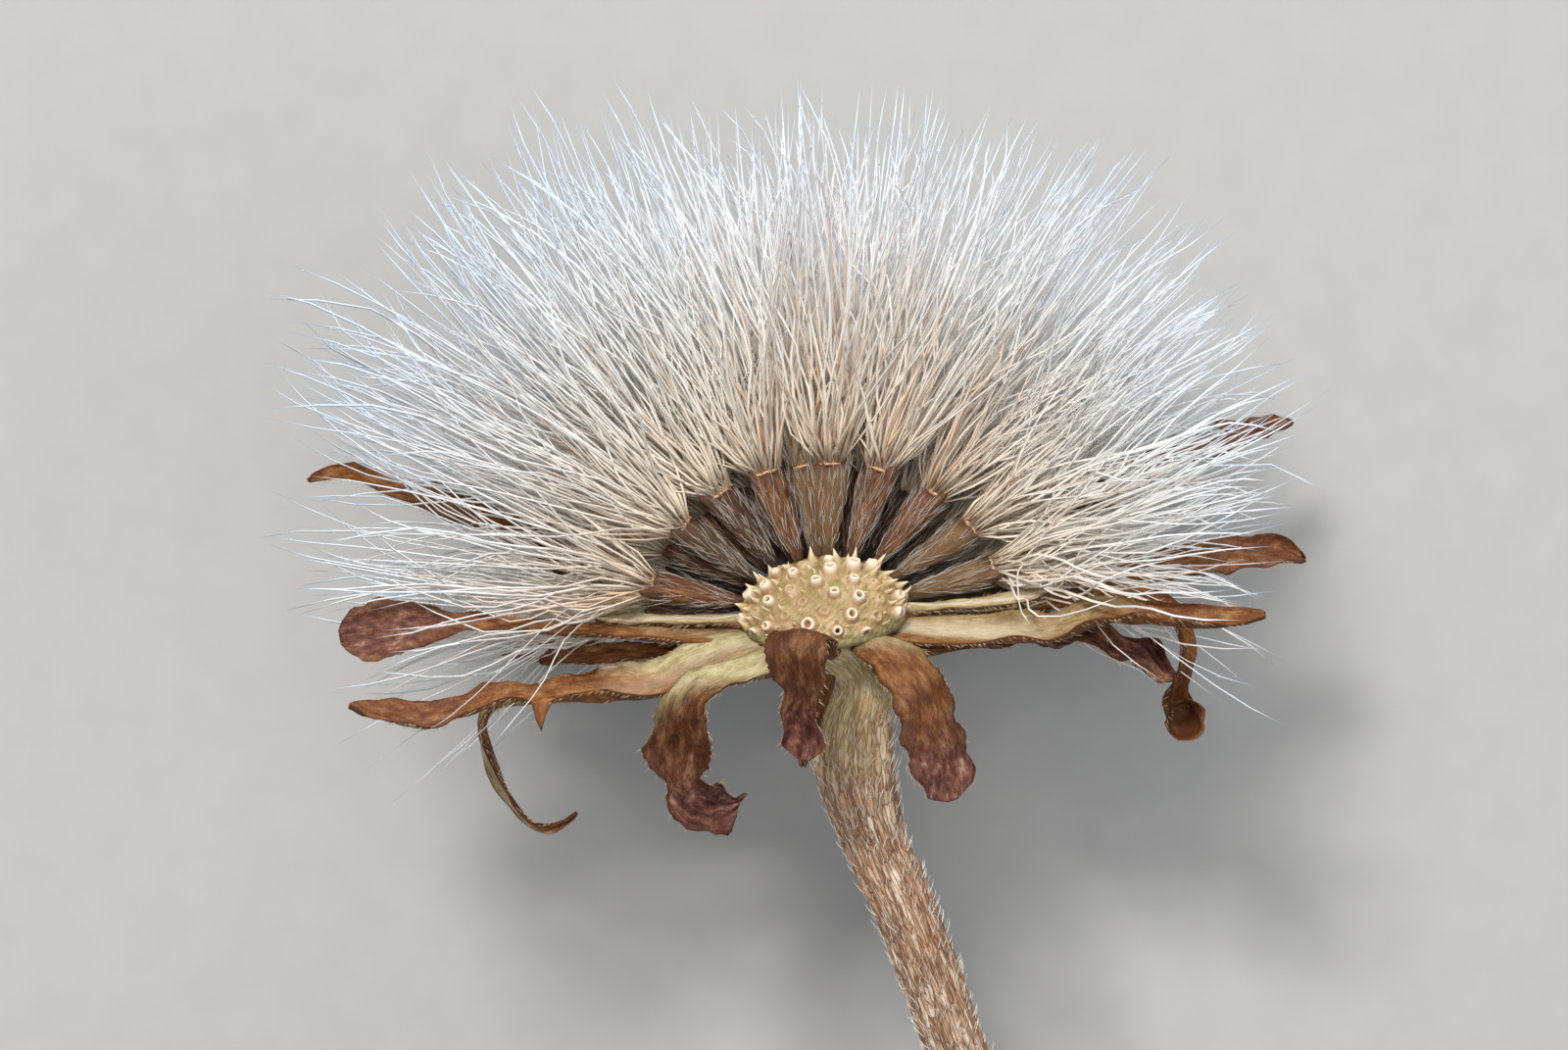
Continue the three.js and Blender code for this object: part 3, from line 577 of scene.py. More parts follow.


# How each bract lies and looks. A plain number holds for the whole blade, a row of them stands at even
# steps from foot to tip, and pairs give the share of the length that each value stands at. Beyond the
# first and the last of them the value stays as it is.
#   azimuth              degrees round the flower, from its front over its right side
#   length, crumple      length in mm, and how much the dry blade is crumpled
#   rise, aside, twist   degrees up from level, to the side of its azimuth, and turned over
#   widths, roll         width in mm, and how far the margins curl up
#   tints                how green its foot, how brown its middle and how purple its tip is
#   green_to             where the green ends, and `green_slant` how unevenly it does across the blade
#   front_brown          1 where the green stays off the margin that looks to the front
#   cream      how pale the middle of the foot is, and where that ends; partly a painted highlight
#   flaps                torn points: where, on which margin, and how far they hang
#   open_end             1 where the tip ends in an open cup, with painted shade inside the cup
BRACTS = {
    "inner_front": dict(
        azimuth=358, length=4.75, crumple=0.9, tints=(0, 1.2, 0.8), green_to=0.1,
        aside={0.34: -16, 0.42: -18, 0.52: -20},
        rise={0: 8, 0.13: 20, 0.24: 58, 0.34: 40, 0.42: -20, 0.52: -84, 0.85: -96, 1: -70},
        widths={
            0: 0.7, 0.14: 1, 0.3: 1.25, 0.5: 1.3, 0.6: 1.2, 0.65: 0.78, 0.78: 0.72, 0.92: 0.85, 0.97: 0.6,
            1: 0.4,
        },
        twist=(0, -12), roll={0: 0.1, 0.4: -0.3, 0.7: 0.8, 1: 1.1},
    ),
    "inner_front_right": dict(
        azimuth=38, length=4.75, crumple=0.45, tints=(0.75, 0.9, 1), green_to=0.2,
        aside={0: -10, 0.2: -8, 0.4: -4, 0.58: 4, 1: -2}, rise={0: 6, 0.2: 4, 0.4: -40, 0.58: -72},
        widths={0: 0.7, 0.14: 1.1, 0.3: 1.25, 0.5: 1.4, 0.7: 1.55, 0.86: 1.48, 0.95: 1.15, 1: 0.6},
        twist=(0, 4), roll={0: 0.1, 0.5: -0.4, 0.8: -0.35, 1: 0.3},
    ),
    "inner_right_front": dict(
        azimuth=68, length=8.4, crumple=0.25, tints=(0.5, 0.3, 0.15), green_to=0.56, front_brown=1,
        cream=(0.6, 0.42), aside=8,
        rise={0: -1, 0.42: 1, 0.5: 25, 0.56: 18, 0.62: -3, 0.78: -8, 0.86: 3, 0.93: 10, 1: 0},
        widths={0: 0.7, 0.12: 0.9, 0.42: 0.8, 0.52: 0.84, 0.63: 0.68, 0.85: 0.62, 0.95: 0.5, 1: 0.36},
        twist={0: 10, 0.2: 22, 0.5: 22, 0.65: 12, 1: 20},
        roll={0: 0.4, 0.15: 1, 0.45: 1.2, 0.6: 1.7, 1: 1.6},
    ),
    "inner_right": dict(
        azimuth=99, length=9.5, crumple=0.4, tints=(0.35, 0.25, 0.2), green_to=0.4, open_end=1,
        aside={0.82: -9, 0.87: -15, 0.92: -50, 0.95: -75, 1: -80},
        rise={
            0: 0, 0.2: 2, 0.545: 0, 0.615: -26, 0.68: -62, 0.75: -84, 0.82: -112, 0.87: -118, 0.92: -50,
            0.95: 5, 1: 15,
        },
        widths={0: 0.6, 0.14: 0.7, 0.6: 0.5, 0.78: 0.46, 0.86: 0.42, 0.89: 0.9, 0.93: 1.4, 1: 1.35},
        twist={0: 0, 0.6: 20, 0.75: 40, 1: 75}, roll={0: 0.3, 0.5: 0.7, 0.86: 1.2, 0.91: 2.3, 1: 2.6},
    ),
    "inner_right_back": dict(
        azimuth=128, length=11.8, crumple=0.7, tints=(0.5, 0.7, 0.3), green_to=0.35,
        aside={0.26: -4, 0.36: -6, 0.6: -8}, rise={0: -10, 0.26: -6, 0.36: 30, 0.6: 22, 0.75: 2, 1: -5},
        widths=spoon(0.6, 0.8, 0.7, 0.9, 0.3), twist={0: 0, 0.4: 20, 1: 30}, roll=(0.3, 0.6, 0.8),
    ),
    "inner_back_right": dict(
        azimuth=158, length=9.8, crumple=0.8, tints=(0.8, 0.6, 0.4), green_to=0.4, aside=3,
        rise=(-2, -4, 4), widths=spoon(0.6, 0.8, 0.7, 1, 0.3), roll=(0.3, 0.6, 0.9),
    ),
    "inner_back": dict(
        azimuth=188, length=7.6, crumple=0.9, tints=(0.6, 0.7, 0.6), green_to=0.35,
        rise={0.6: -5, 1: 30}, widths=spoon(0.6, 0.8, 0.7, 0.95, 0.3), twist=(0, 12),
        roll=(0.3, 0.7, 1),
    ),
    "inner_back_left": dict(
        azimuth=218, length=10.2, crumple=0.8, tints=(0.8, 0.6, 0.5), green_to=0.4, aside=-13,
        rise=(-6, -6, 5), widths=spoon(0.6, 0.8, 0.7, 1, 0.3), roll=(0.3, 0.5, 0.9),
    ),
    "inner_left_back": dict(
        azimuth=244, length=12.1, crumple=0.5, tints=(0.4, 0.3, 0.1), green_to=0.35, aside=-3,
        rise={0: -9, 0.25: -5, 0.33: 42, 0.46: 40, 0.55: 17, 0.86: 13, 0.92: -4, 1: -30},
        widths={0: 0.6, 0.14: 0.75, 0.5: 0.7, 0.7: 0.72, 0.8: 0.5, 0.9: 0.38, 0.97: 0.32, 1: 0.2},
        twist={0: 0, 0.4: -30, 1: -50}, roll=(0.3, 0.7, 1.1),
    ),
    "inner_left": dict(
        azimuth=278, length=9.15, crumple=0.4, tints=(0.3, 0.1, 0.95), green_to=0.25, aside=-8,
        rise={0: 2, 0.2: 9, 0.6: 10, 0.75: 3, 0.88: -4, 1: -6},
        widths={
            0: 0.7, 0.14: 0.75, 0.4: 0.45, 0.6: 0.34, 0.71: 0.42, 0.8: 0.9, 0.89: 1.32, 0.96: 1.22, 1: 0.8,
        },
        twist={0.3: 0, 0.75: -50, 1: -62}, roll={0: 0.4, 0.6: 0.9, 0.8: 0.5, 1: 0.45},
    ),
    "inner_left_front": dict(
        azimuth=308, length=9.45, crumple=0.5, tints=(1, 0.15, 0.45), green_to=0.14, green_slant=0.3,
        cream=(0.3, 0.4), flaps=[(0.565, 1, 0.55)], aside=-28,
        rise={0: 4, 0.1: -2, 0.22: -22, 0.36: 2, 0.58: 9, 0.68: -8, 0.78: -8, 0.86: 16, 1: 23},
        widths={
            0: 1.1, 0.12: 1.4, 0.24: 1.35, 0.34: 1.12, 0.44: 0.82, 0.54: 0.62, 0.64: 0.54, 0.76: 0.66,
            0.84: 0.86, 0.91: 0.66, 0.97: 0.5, 1: 0.3,
        },
        twist={0: -6, 0.2: -14, 0.4: -18, 1: -22},
        roll={0: 0.3, 0.2: 0.6, 0.36: 1.4, 0.62: 1.4, 0.8: 0.8, 1: 0.9},
    ),
    "inner_front_left": dict(
        azimuth=338, length=6.9, crumple=0.9, tints=(1, 1.5, 1), green_to=0.38,
        aside={0: -36, 0.2: -38, 0.36: -40, 0.44: -42, 0.53: -42, 0.7: -40, 0.82: -34},
        rise={0: 0, 0.2: -2, 0.36: -2, 0.44: -50, 0.53: -86, 0.7: -92, 0.82: -138, 0.91: -182, 1: -208},
        widths={
            0: 0.7, 0.12: 1, 0.34: 0.85, 0.46: 0.95, 0.6: 1.4, 0.66: 1.3, 0.7: 0.7, 0.76: 1, 0.84: 1.25,
            0.91: 1.05, 0.95: 0.4, 0.97: 0.1, 1: 0.05,
        },
        twist={0: 0, 0.3: -12, 0.5: -48, 0.66: -56, 0.8: -72, 1: -92},
        roll={0: 0.2, 0.45: 0.4, 0.64: 0.8, 0.75: 0.7, 1: 0.8},
    ),
    "outer_front": dict(
        azimuth=353, length=2, crumple=0.5, tints=(0.2, 0.35, 0.1), green_to=0.2,
        aside={0: -10, 0.3: -50, 1: -80}, rise={0: -45, 0.3: -72, 1: -70},
        widths={0: 0.6, 0.3: 0.75, 0.8: 0.66, 1: 0.3}, roll=(0.2, 0.6, 0.9),
    ),
    "outer_front_right": dict(
        azimuth=53, length=2.6, crumple=0.6, tints=(0.5, 0.6, 0.3), green_to=0.3,
        rise={0: -25, 0.4: -60, 1: -80}, widths={0: 0.5, 0.3: 0.65, 0.8: 0.6, 1: 0.25},
        roll=(0.2, 0.5, 0.8),
    ),
    "outer_right_front": dict(
        azimuth=81, length=6.4, crumple=1.3, tints=(0.3, 1, 0.5), green_to=0.3,
        aside={0.6: 3, 0.72: 0, 0.86: -6, 1: -12},
        rise={0: 4, 0.3: 6, 0.6: 2, 0.72: -26, 0.86: -38, 1: -10},
        widths={0: 0.5, 0.14: 0.6, 0.5: 0.55, 0.66: 0.7, 0.77: 0.5, 0.88: 0.72, 0.96: 0.6, 1: 0.3},
        twist={0: 0, 0.5: 20, 0.7: 60, 1: 30}, roll=(0.3, 0.9, 1.2),
    ),
    "outer_right": dict(
        azimuth=113, length=9.9, crumple=0.7, tints=(0.3, 0, 0.5), green_to=0.3, aside=-5,
        rise={0: -2, 0.3: 4, 0.45: 9, 0.7: 0, 0.9: -12, 1: -30},
        widths={0: 0.5, 0.14: 0.7, 0.4: 0.75, 0.6: 0.8, 0.8: 0.86, 0.92: 0.72, 1: 0.4},
        twist={0: 0, 0.35: 20, 0.6: 42, 1: 46}, roll={0: 0.3, 0.5: 0.5, 0.85: 0.6, 1: 1.9},
    ),
    "outer_right_back": dict(
        azimuth=146, length=8.6, crumple=0.8, tints=(0.3, 0.8, 0.5), green_to=0.3, aside=-4,
        rise={0: -8, 0.4: 4, 1: 12}, widths=spoon(0.5, 0.65, 0.6, 0.8, 0.25), twist=(0, 15),
        roll=(0.3, 0.6, 0.9),
    ),
    "outer_back_right": dict(
        azimuth=173, length=7.4, crumple=0.9, tints=(0.3, 0.9, 0.6), green_to=0.3, rise=(-14, -22, 10),
        widths=spoon(0.5, 0.65, 0.6, 0.8, 0.25), roll=(0.3, 0.6, 1),
    ),
    "outer_back_left": dict(
        azimuth=203, length=7, crumple=0.9, tints=(0.3, 0.8, 0.6), green_to=0.3, rise=(-16, -26, -5),
        widths=spoon(0.5, 0.65, 0.6, 0.8, 0.25), roll=(0.3, 0.8, 1.2),
    ),
    "outer_left_back": dict(
        azimuth=231, length=7.8, crumple=0.8, tints=(0.3, 0.9, 0.5), green_to=0.3, aside=2,
        rise=(-12, -10, -8), widths=spoon(0.5, 0.65, 0.6, 0.7, 0.25), twist=(0, -10), roll=(0.3, 0.6, 0.9),
    ),
    "outer_left": dict(
        azimuth=263, length=4.9, crumple=0.6, tints=(0.3, 0.4, 0.2), green_to=0.25,
        rise={0: 4, 0.4: 6, 0.6: 0, 1: -6}, widths=spoon(0.5, 0.6, 0.55, 0.5, 0.2), twist=(0, -30),
        roll=(0.3, 0.7, 1),
    ),
    "outer_left_front": dict(
        azimuth=293, length=10.2, crumple=0.4, tints=(0.55, 0.5, 0), green_to=0.8, cream=(0.7, 0.85),
        aside=-26, rise={0: -6, 0.56: -1, 0.61: -50, 0.66: -96, 0.8: -112, 0.88: -128, 0.92: -180, 1: -222},
        widths={0: 0.45, 0.14: 0.45, 0.58: 0.3, 0.68: 0.38, 0.8: 0.32, 0.88: 0.2, 0.94: 0.24, 1: 0.1},
        twist={0.6: 0, 0.75: -35, 1: -70}, roll=(0.3, 0.9, 1.3),
    ),
    # Thin white scales that lie on the inner bracts, under the outermost fruits.
    "scale_right": dict(
        azimuth=84, length=3.4, crumple=0.3, tints=(0.7, 0.2, 0), green_to=2, cream=(0.9, 2),
        aside={0.4: -2, 1: -6}, rise={0: 6, 0.4: 1, 1: 14},
        widths={0: 0.25, 0.3: 0.26, 0.75: 0.42, 1: 0.15}, twist=(10, 24), roll=(0.5, 0.9),
    ),
    "scale_left": dict(
        azimuth=272, length=3.4, crumple=0.4, tints=(0.6, 0.3, 0), green_to=2, cream=(0.9, 2), aside=-10,
        rise={0: 8, 0.4: 0, 1: 6}, widths={0: 0.25, 0.3: 0.3, 0.75: 0.34, 1: 0.12}, twist=(-10, -24),
        roll=(0.5, 0.9),
    ),
}
# How far out and how high each row starts, and the two bracts that the head lies on.
BRACT_ROWS = {"inner": (1.22, -0.3), "outer": (1.3, -0.88), "scale": (1.5, 0.02)}
BRACT_PROPS = ("inner_back_right", "inner_back_left")
BLADE_STATIONS = 88
BLADE_PLACES = 15
BLADE_THICKNESS = 0.11
FOOT_THICKNESS = 0.4
RIB_HEIGHT = 0.035
RIB_WIDTH = 0.16
RAGGED, FRINGED = 0.09, 0.035  # how uneven the margins are, in broad waves and in fine ones
BUCKLED, CREASED, VEINED = 0.075, 0.04, 0.004  # mm up and down in broad waves, fine ones and veins
SHIFTED = 0.05  # mm from side to side
TIP_SHARE = 0.045  # share of a bract's length over which its tip closes
CURL_RANGE = (0.05, 3.0)
HALF_CLOSED = 1.5
BRACT_HAIRS = 42  # for each mm of a bract
BRACT_HAIR_TAPER = (0.0065, 0.006, 0.004, 0)
BRACT_HAIR_GAP = 0.02


def bract_line(name, stations):
    """The middle line of a bract, with the way across it and the way its upper face looks."""
    bract = BRACTS[name]
    start, level = BRACT_ROWS[name.split("_")[0]]
    azimuth = math.radians(bract["azimuth"])
    share = np.linspace(0, 1, stations)
    rise = np.radians(along(bract["rise"], share))
    heading = azimuth + np.radians(along(bract.get("aside", 0), share))
    side = np.stack([np.cos(heading), np.sin(heading), 0 * heading], -1)
    way = np.stack([np.sin(heading) * np.cos(rise), -np.cos(heading) * np.cos(rise), np.sin(rise)], -1)
    steps = (way[1:] + way[:-1]) / 2 * bract["length"] / (stations - 1)
    first = np.array([math.sin(azimuth) * start, -math.cos(azimuth) * start, level])
    centre = first + np.concatenate([np.zeros((1, 3)), np.cumsum(steps, axis=0)])
    over = np.radians(along(bract.get("twist", 0), share))[:, None]
    side = side * np.cos(over) + np.cross(way, side) * np.sin(over)
    return share, centre, side, np.cross(way, side), way


def waves(seed, *places):
    """Smooth uneven ripples over one or two directions."""
    total = 0
    for number in np.arange(5) + seed * 7:
        pitches = [2.1 + 3.4 * chance(number, 41 + way) for way in range(len(places))]
        phase = sum(pitch * place for pitch, place in zip(pitches, places))
        total = total + np.sin(phase + 6.28 * chance(number, 45))
    return total / 2.6


dry_blade = Finish("dry_bract", roughness=0.6, specular_ior_level=0.25)
blade_place = dry_blade.mark("place", "Vector")
fibres = dry_blade.noise(dry_blade.stretched(blade_place, 5.0, 0.9, 1.0), 3.4, 4.0, 0.6)
mottle = dry_blade.noise(dry_blade.stretched(blade_place, 1.4, 1.0, 1.0), 2.2, 5.0, 0.65)
fuzz = dry_blade.noise(blade_place, 15, 3.0, 0.7)
patches = dry_blade.noise(blade_place, 0.8, 2.0, 0.6)
spots = dry_blade.noise(blade_place, 4.2, 4.0, 0.65)
worn = 0.5 * mottle + 0.25 * fibres + 0.25 * fuzz
ochre = dry_blade.ramp(worn, (0.34, "4a260d"), (0.45, "6f3f19"), (0.54, "8b5828"), (0.68, "ae7f4e"))
umber = dry_blade.ramp(worn, (0.34, "1b0d06"), (0.45, "3c1d0a"), (0.54, "562e13"), (0.68, "7d4f2e"))
leaf_green = dry_blade.ramp(
    0.2 * fibres + 0.8 * worn, (0.34, "76693f"), (0.46, "978b5f"), (0.55, "b3a880"), (0.68, "cbc1a8")
)
purple = dry_blade.ramp(
    0.6 * worn + 0.4 * spots, (0.36, "221012"), (0.46, "4e2b28"), (0.54, "764a40"), (0.64, "b98f82")
)
dry_blade.set(
    base_color=dry_blade.coated(
        ochre,
        (dry_blade.mark("brown") + 1.3 * (patches - 0.5), umber),
        (dry_blade.mark("plum") * (0.3 + 1.0 * patches), purple),
        (dry_blade.mark("green") + 0.5 * (mottle - 0.5), leaf_green),
        # The pale middle of the foot: the blade's own cream, and on the rolled bracts a painted highlight
        # stripe.
        (dry_blade.mark("cream") * (0.4 + 1.2 * fibres), "c6b9a1"),
        # Brown margins, the blade's own colour, and painted shade inside the open cup at the tip.
        (dry_blade.mark("margin") * 0.55, "4f2c18"),
    ),
    roughness=0.42 + 0.35 * fuzz,
)
dry_blade.bump(worn, 0.06, 0.9)

bract_hair = Finish("bract_hair", base_color="c2a883", roughness=0.4)

bract_lines = {}
for number, name in enumerate(BRACTS):
    bract = BRACTS[name]
    share, centre, side, face, way = bract_line(name, BLADE_STATIONS)
    bract_lines[name] = (share, centre)
    across = np.linspace(-1, 1, BLADE_PLACES)[None]
    s = share[:, None]
    long_way = s * bract["length"]
    ragged = waves(number, 1.6 * long_way) + np.sign(across) * waves(number + 30, 2.1 * long_way)
    fringe = waves(number + 200, 9.0 * long_way, 3.0 * np.sign(across))
    frayed = ease(s, 0.1, 0.4) * min(1.2, bract["crumple"] / 0.7)
    half = along(bract["widths"], s) / 2 * (1 + frayed * (RAGGED * ragged + FRINGED * fringe))
    closing = 0.35 + 0.65 * np.sqrt(np.clip((1 - s) / TIP_SHARE, 0, 1))
    half = half * np.where((1 - s < TIP_SHARE) & ("open_end" not in bract), closing, 1)
    angle = along(bract["roll"], s) * (1 + 0.3 * waves(number + 60, 0.8 * long_way))
    curl = np.clip(np.abs(angle), *CURL_RANGE)
    angle = np.sign(angle) * curl
    # A curled blade keeps its width until it is more than half closed.
    open_width = np.where(curl < HALF_CLOSED, curl / np.sin(np.minimum(curl, HALF_CLOSED)), HALF_CLOSED)
    x = half * open_width * np.sin(angle * across) / angle
    z = half * open_width * (1 - np.cos(angle * across)) / angle - 0.3 * half * np.clip(angle, -1, 1)
    loose = ease(s, 0.12, 0.55) * bract["crumple"]
    z = z + loose * BUCKLED * waves(number + 90, 1.1 * long_way, 2.2 * across)
    z = z + loose * CREASED * waves(number + 120, 2.6 * long_way, 3.6 * across)
    z = z + VEINED * np.sin(14 * across + 2 * waves(number + 180, long_way)) * ease(s, 0.05, 0.3)
    x = x + loose * SHIFTED * waves(number + 150, 0.9 * long_way)
    for at, margin, drop in bract.get("flaps", []):
        torn = drop * hump((s - at) * bract["length"], 0.13) * np.clip(margin * across, 0, 1) ** 5
        x, z = x + margin * 0.6 * torn, z - torn
    rib = RIB_HEIGHT * hump(across, RIB_WIDTH) * (1 - ease(s, 0.75, 1))
    thick = (BLADE_THICKNESS * (1 - 0.55 * across**2) + rib) * (1 - 0.5 * ease(s, 0.6, 1))
    foot_part = 1 - ease(s, 0.02, 0.3)
    thick = thick + foot_part * (FOOT_THICKNESS - BLADE_THICKNESS) * np.sqrt(np.clip(1 - across**2, 0, 1))
    sheet = centre[:, None] + x[..., None] * side[:, None]
    lower = sheet + (z - thick / 2)[..., None] * face[:, None]
    upper = sheet + (z + thick / 2)[..., None] * face[:, None]
    loop = press_up(np.concatenate([lower, upper[:, ::-1]], axis=1), 0 if name in BRACT_PROPS else TABLE_GAP)
    sides = 2 * BLADE_PLACES
    points = np.concatenate([loop.reshape(-1, 3), loop[:1].mean(1)])
    low_edge = np.arange(BLADE_PLACES - 1) + (BLADE_STATIONS - 1) * sides
    high_edge = (BLADE_STATIONS * sides - 1) - np.arange(BLADE_PLACES - 1)
    blocks = [
        ring_faces(BLADE_STATIONS, sides),
        cap_faces(0, sides, len(points) - 1, flip=True),
        np.stack([low_edge, low_edge + 1, high_edge - 1, high_edge], -1),
    ]

    def on_loop(values, under=None):
        """A mark on both faces of the blade, or a mark of its own on the under face."""
        top = np.broadcast_to(values, (BLADE_STATIONS, BLADE_PLACES))
        low = top if under is None else np.broadcast_to(under, top.shape)
        return np.concatenate([np.concatenate([low, top[:, ::-1]], axis=1).ravel(), [0]])

    green, brown, plum = bract["tints"]
    cream, cream_to = bract.get("cream", (0.1, 0.3))
    facing = -np.sign(side[BLADE_STATIONS // 3, 1])
    green_end = np.maximum(bract["green_to"] - bract.get("green_slant", 0.12) * facing * across, 0.1)
    green = green * (1 - ease(s - green_end, -0.14, 0.12))
    green = green * (1 - 0.9 * bract.get("front_brown", 0) * ease(facing * across, 0.1, 0.6))
    brown = brown * (0.3 + 0.7 * ease(s, 0.15, 0.8))
    plum = plum * ease(s + 0.06 * waves(number + 240, 5 * across, long_way), 0.6, 0.85)
    # The pale middle of the foot is its own cream, and on rolled blades also a painted highlight stripe along
    # it.
    cream = cream * hump(across + 0.1 * facing, 0.42) * (1 - ease(s, cream_to - 0.12, cream_to + 0.1))
    edge = ease(np.abs(across), 0.75, 1) * ease(s, 0.15, 0.4)
    # Painted shade inside the open cup at the tip, on its upper face.
    cup_shade = bract.get("open_end", 0) * ease(s, 0.88, 0.94) * (1 - ease(s, 0.975, 1))
    place = np.stack(
        [
            on_loop(across * half * 2) + 7.3 * number,
            on_loop(long_way),
            np.concatenate([np.tile(np.repeat([0.0, 1.5], BLADE_PLACES), BLADE_STATIONS), [0]]),
        ],
        -1,
    )
    # Fine hairs on the margins and under the blade.
    index = np.arange(int(BRACT_HAIRS * bract["length"])) + 1000 * number
    row = ((0.06 + 0.9 * chance(index, 51)) * (BLADE_STATIONS - 1)).astype(int)
    on_margin = chance(index, 52) < 0.6
    margin_place = np.where(chance(index, 53) < 0.5, 0, BLADE_PLACES - 1)
    column = np.where(on_margin, margin_place, (chance(index, 54) * BLADE_PLACES).astype(int))
    outward = side[row] * np.sign(column - BLADE_PLACES / 2)[:, None]
    outward = np.where(on_margin[:, None], outward, -face[row])
    hair_way = unit(outward + 0.8 * way[row] + 0.9 * (chances(index, 55, 56, 57) - 0.5))
    reach = (0.05 + 0.15 * chance(index, 58) ** 1.5)[:, None]
    hairs = bent_lines(loop[row, column], hair_way * reach, 0.05 * way[row], len(BRACT_HAIR_TAPER))
    kind = name.split("_")[0]
    piece(
        f"dry_bract_{name}",
        "bract_outer" if kind == "outer" else "bract_inner",
        [] if kind == "scale" else [f"bract_{name}"],
        (points, blocks, dry_blade, {
            "place": place,
            "green": on_loop(green, 0.45 * green * (1 - ease(s, 0.05, 0.3))),
            "brown": on_loop(brown, np.clip(brown + 0.3, 0, 1)),
            "plum": on_loop(plum),
            # Brown margins on both faces, and painted shade inside the open cup on the upper face.
            "margin": on_loop(edge + 1.6 * cup_shade, edge),
            "cream": on_loop(cream),
        }),
        (*strands(press_up(hairs, BRACT_HAIR_GAP), BRACT_HAIR_TAPER), bract_hair, {}),
    )


# ---- Achenes ----
# The ripe fruits that haven't flown yet: flattened brown nutlets, ribbed lengthwise, wider at the top.
# Short silvery hairs lie up them, and each has a pale ring at the top where its bristles stand.

ACHENE_LENGTH = 1.95
ACHENE_WIDTH = 0.88
ACHENE_DEPTH = 0.52
ACHENE_LIFT = 0.06
ACHENE_SIDES = 42
ACHENE_RINGS = 26
RIBS = (0.045, 0.03)  # ten ribs and six broad ones, as shares of the fruit's girth
HORNS = 0.4
ACHENE_HAIRS = 165
ACHENE_HAIR_TAPER = (0.0055, 0.0055, 0.0045, 0)
ACHENE_PROFILE = {0: 0.3, 0.1: 0.4, 0.3: 0.62, 0.6: 0.93, 0.8: 1.04, 0.93: 1.0, 1: 0.94}


def standing_on(way):
    """The level side and the remaining side of things that stand along each way."""
    side = unit(np.cross([0, 0, 1.0], way))
    return side, np.cross(way, side)


fruit = floret[~flown]
fruit_way = floret_way[~flown]
fruit_side, fruit_back = standing_on(fruit_way)
fruit_foot = on_receptacle(dome_polar[~flown], floret_turn[~flown], ACHENE_LIFT)
fruit_top = fruit_foot + fruit_way * ACHENE_LENGTH

s = np.linspace(0, 1, ACHENE_RINGS)[None, :, None]
turn = round_turn(ACHENE_SIDES)[None, None]
own = fruit[:, None, None]
swell = along(ACHENE_PROFILE, s)
ribs = RIBS[0] * np.cos(10 * turn + 2 * chance(own, 61))
ribs = ribs + RIBS[1] * np.cos(6 * turn + 5 * chance(own, 62) + s)
ribs = ribs * ease(s, 0.05, 0.3) * (1 - 0.6 * ease(s, 0.85, 1))
pucker = 0.012 * np.sin(40 * s + 4 * turn + 9 * chance(own, 63)) + 0.01 * np.sin(17 * s - 7 * turn)
horns = HORNS * ease(s, 0.86, 1) * np.abs(np.cos(turn)) ** 8 * (0.3 + chance(own, 67))
girth = swell * (1 + ribs + pucker + horns)
bend = 0.12 * (chance(own, 64) - 0.5) * np.sin(np.pi * s)
point_up = 0.1 + 0.2 * chance(own + 50 * (np.cos(turn) > 0), 70)
ragged = point_up * np.abs(np.cos(turn)) ** 8 + 0.05 * np.sin(5 * turn + 9 * chance(own, 69)) - 0.06
x = ACHENE_WIDTH / 2 * girth * np.cos(turn) * (0.82 + 0.2 * chance(own, 65)) + bend
y = ACHENE_DEPTH / 2 * girth * np.sin(turn) + 0.6 * bend
shells = (
    fruit_foot[:, None, None]
    + x[..., None] * fruit_side[:, None, None]
    + y[..., None] * fruit_back[:, None, None]
    + (s * ACHENE_LENGTH - 0.05 * (1 - s) + ragged * ease(s, 0.84, 1))[..., None] * fruit_way[:, None, None]
)
each = ACHENE_RINGS * ACHENE_SIDES
ends = np.stack([shells[:, 0].mean(1), shells[:, -1].mean(1)], 1)
points = np.concatenate([shells.reshape(len(fruit), each, 3), ends], axis=1)
first = (np.arange(len(fruit)) * (each + 2))[:, None, None]
blocks = [block + first for block in capped_faces(ACHENE_RINGS, ACHENE_SIDES, each, each + 1)]


def on_fruits(values):
    """A mark on every fruit, carried on to the middle points of its two ends."""
    spread = np.broadcast_to(values, (len(fruit), ACHENE_RINGS, ACHENE_SIDES)).reshape(len(fruit), each)
    return np.concatenate([spread, spread[:, :1], spread[:, -1:]], axis=1).ravel()


husk = Finish("achene_husk", roughness=0.42, specular_ior_level=0.5)
husk_place = husk.mark("place", "Vector")
streak = husk.noise(husk.stretched(husk_place, 4.2, 4.2, 0.8), 2.6, 6.0, 0.72)
mottle = husk.noise(husk_place, 1.6, 3.0)
shell = husk.ramp(
    0.8 * streak + 0.2 * mottle,
    (0.34, "1c0e07"), (0.44, "422411"), (0.52, "683f20"), (0.6, "915f36"), (0.7, "cb9e6c"),
)
husk.set(
    base_color=husk.coated(
        shell,
        (husk.mark("rib") * 0.35, "945f35"),
        (husk.mark("tint") * 0.4, "76603a"),
        # Painted shade at the foot of each fruit, down among the others; a few fruits are also darker all
        # over.
        (husk.mark("dark"), "170c08"),
        (husk.mark("top") * 0.55, "53321e"),
    ),
    roughness=0.3 + 0.35 * mottle,
)
husk.bump(streak, 0.05, 0.9)

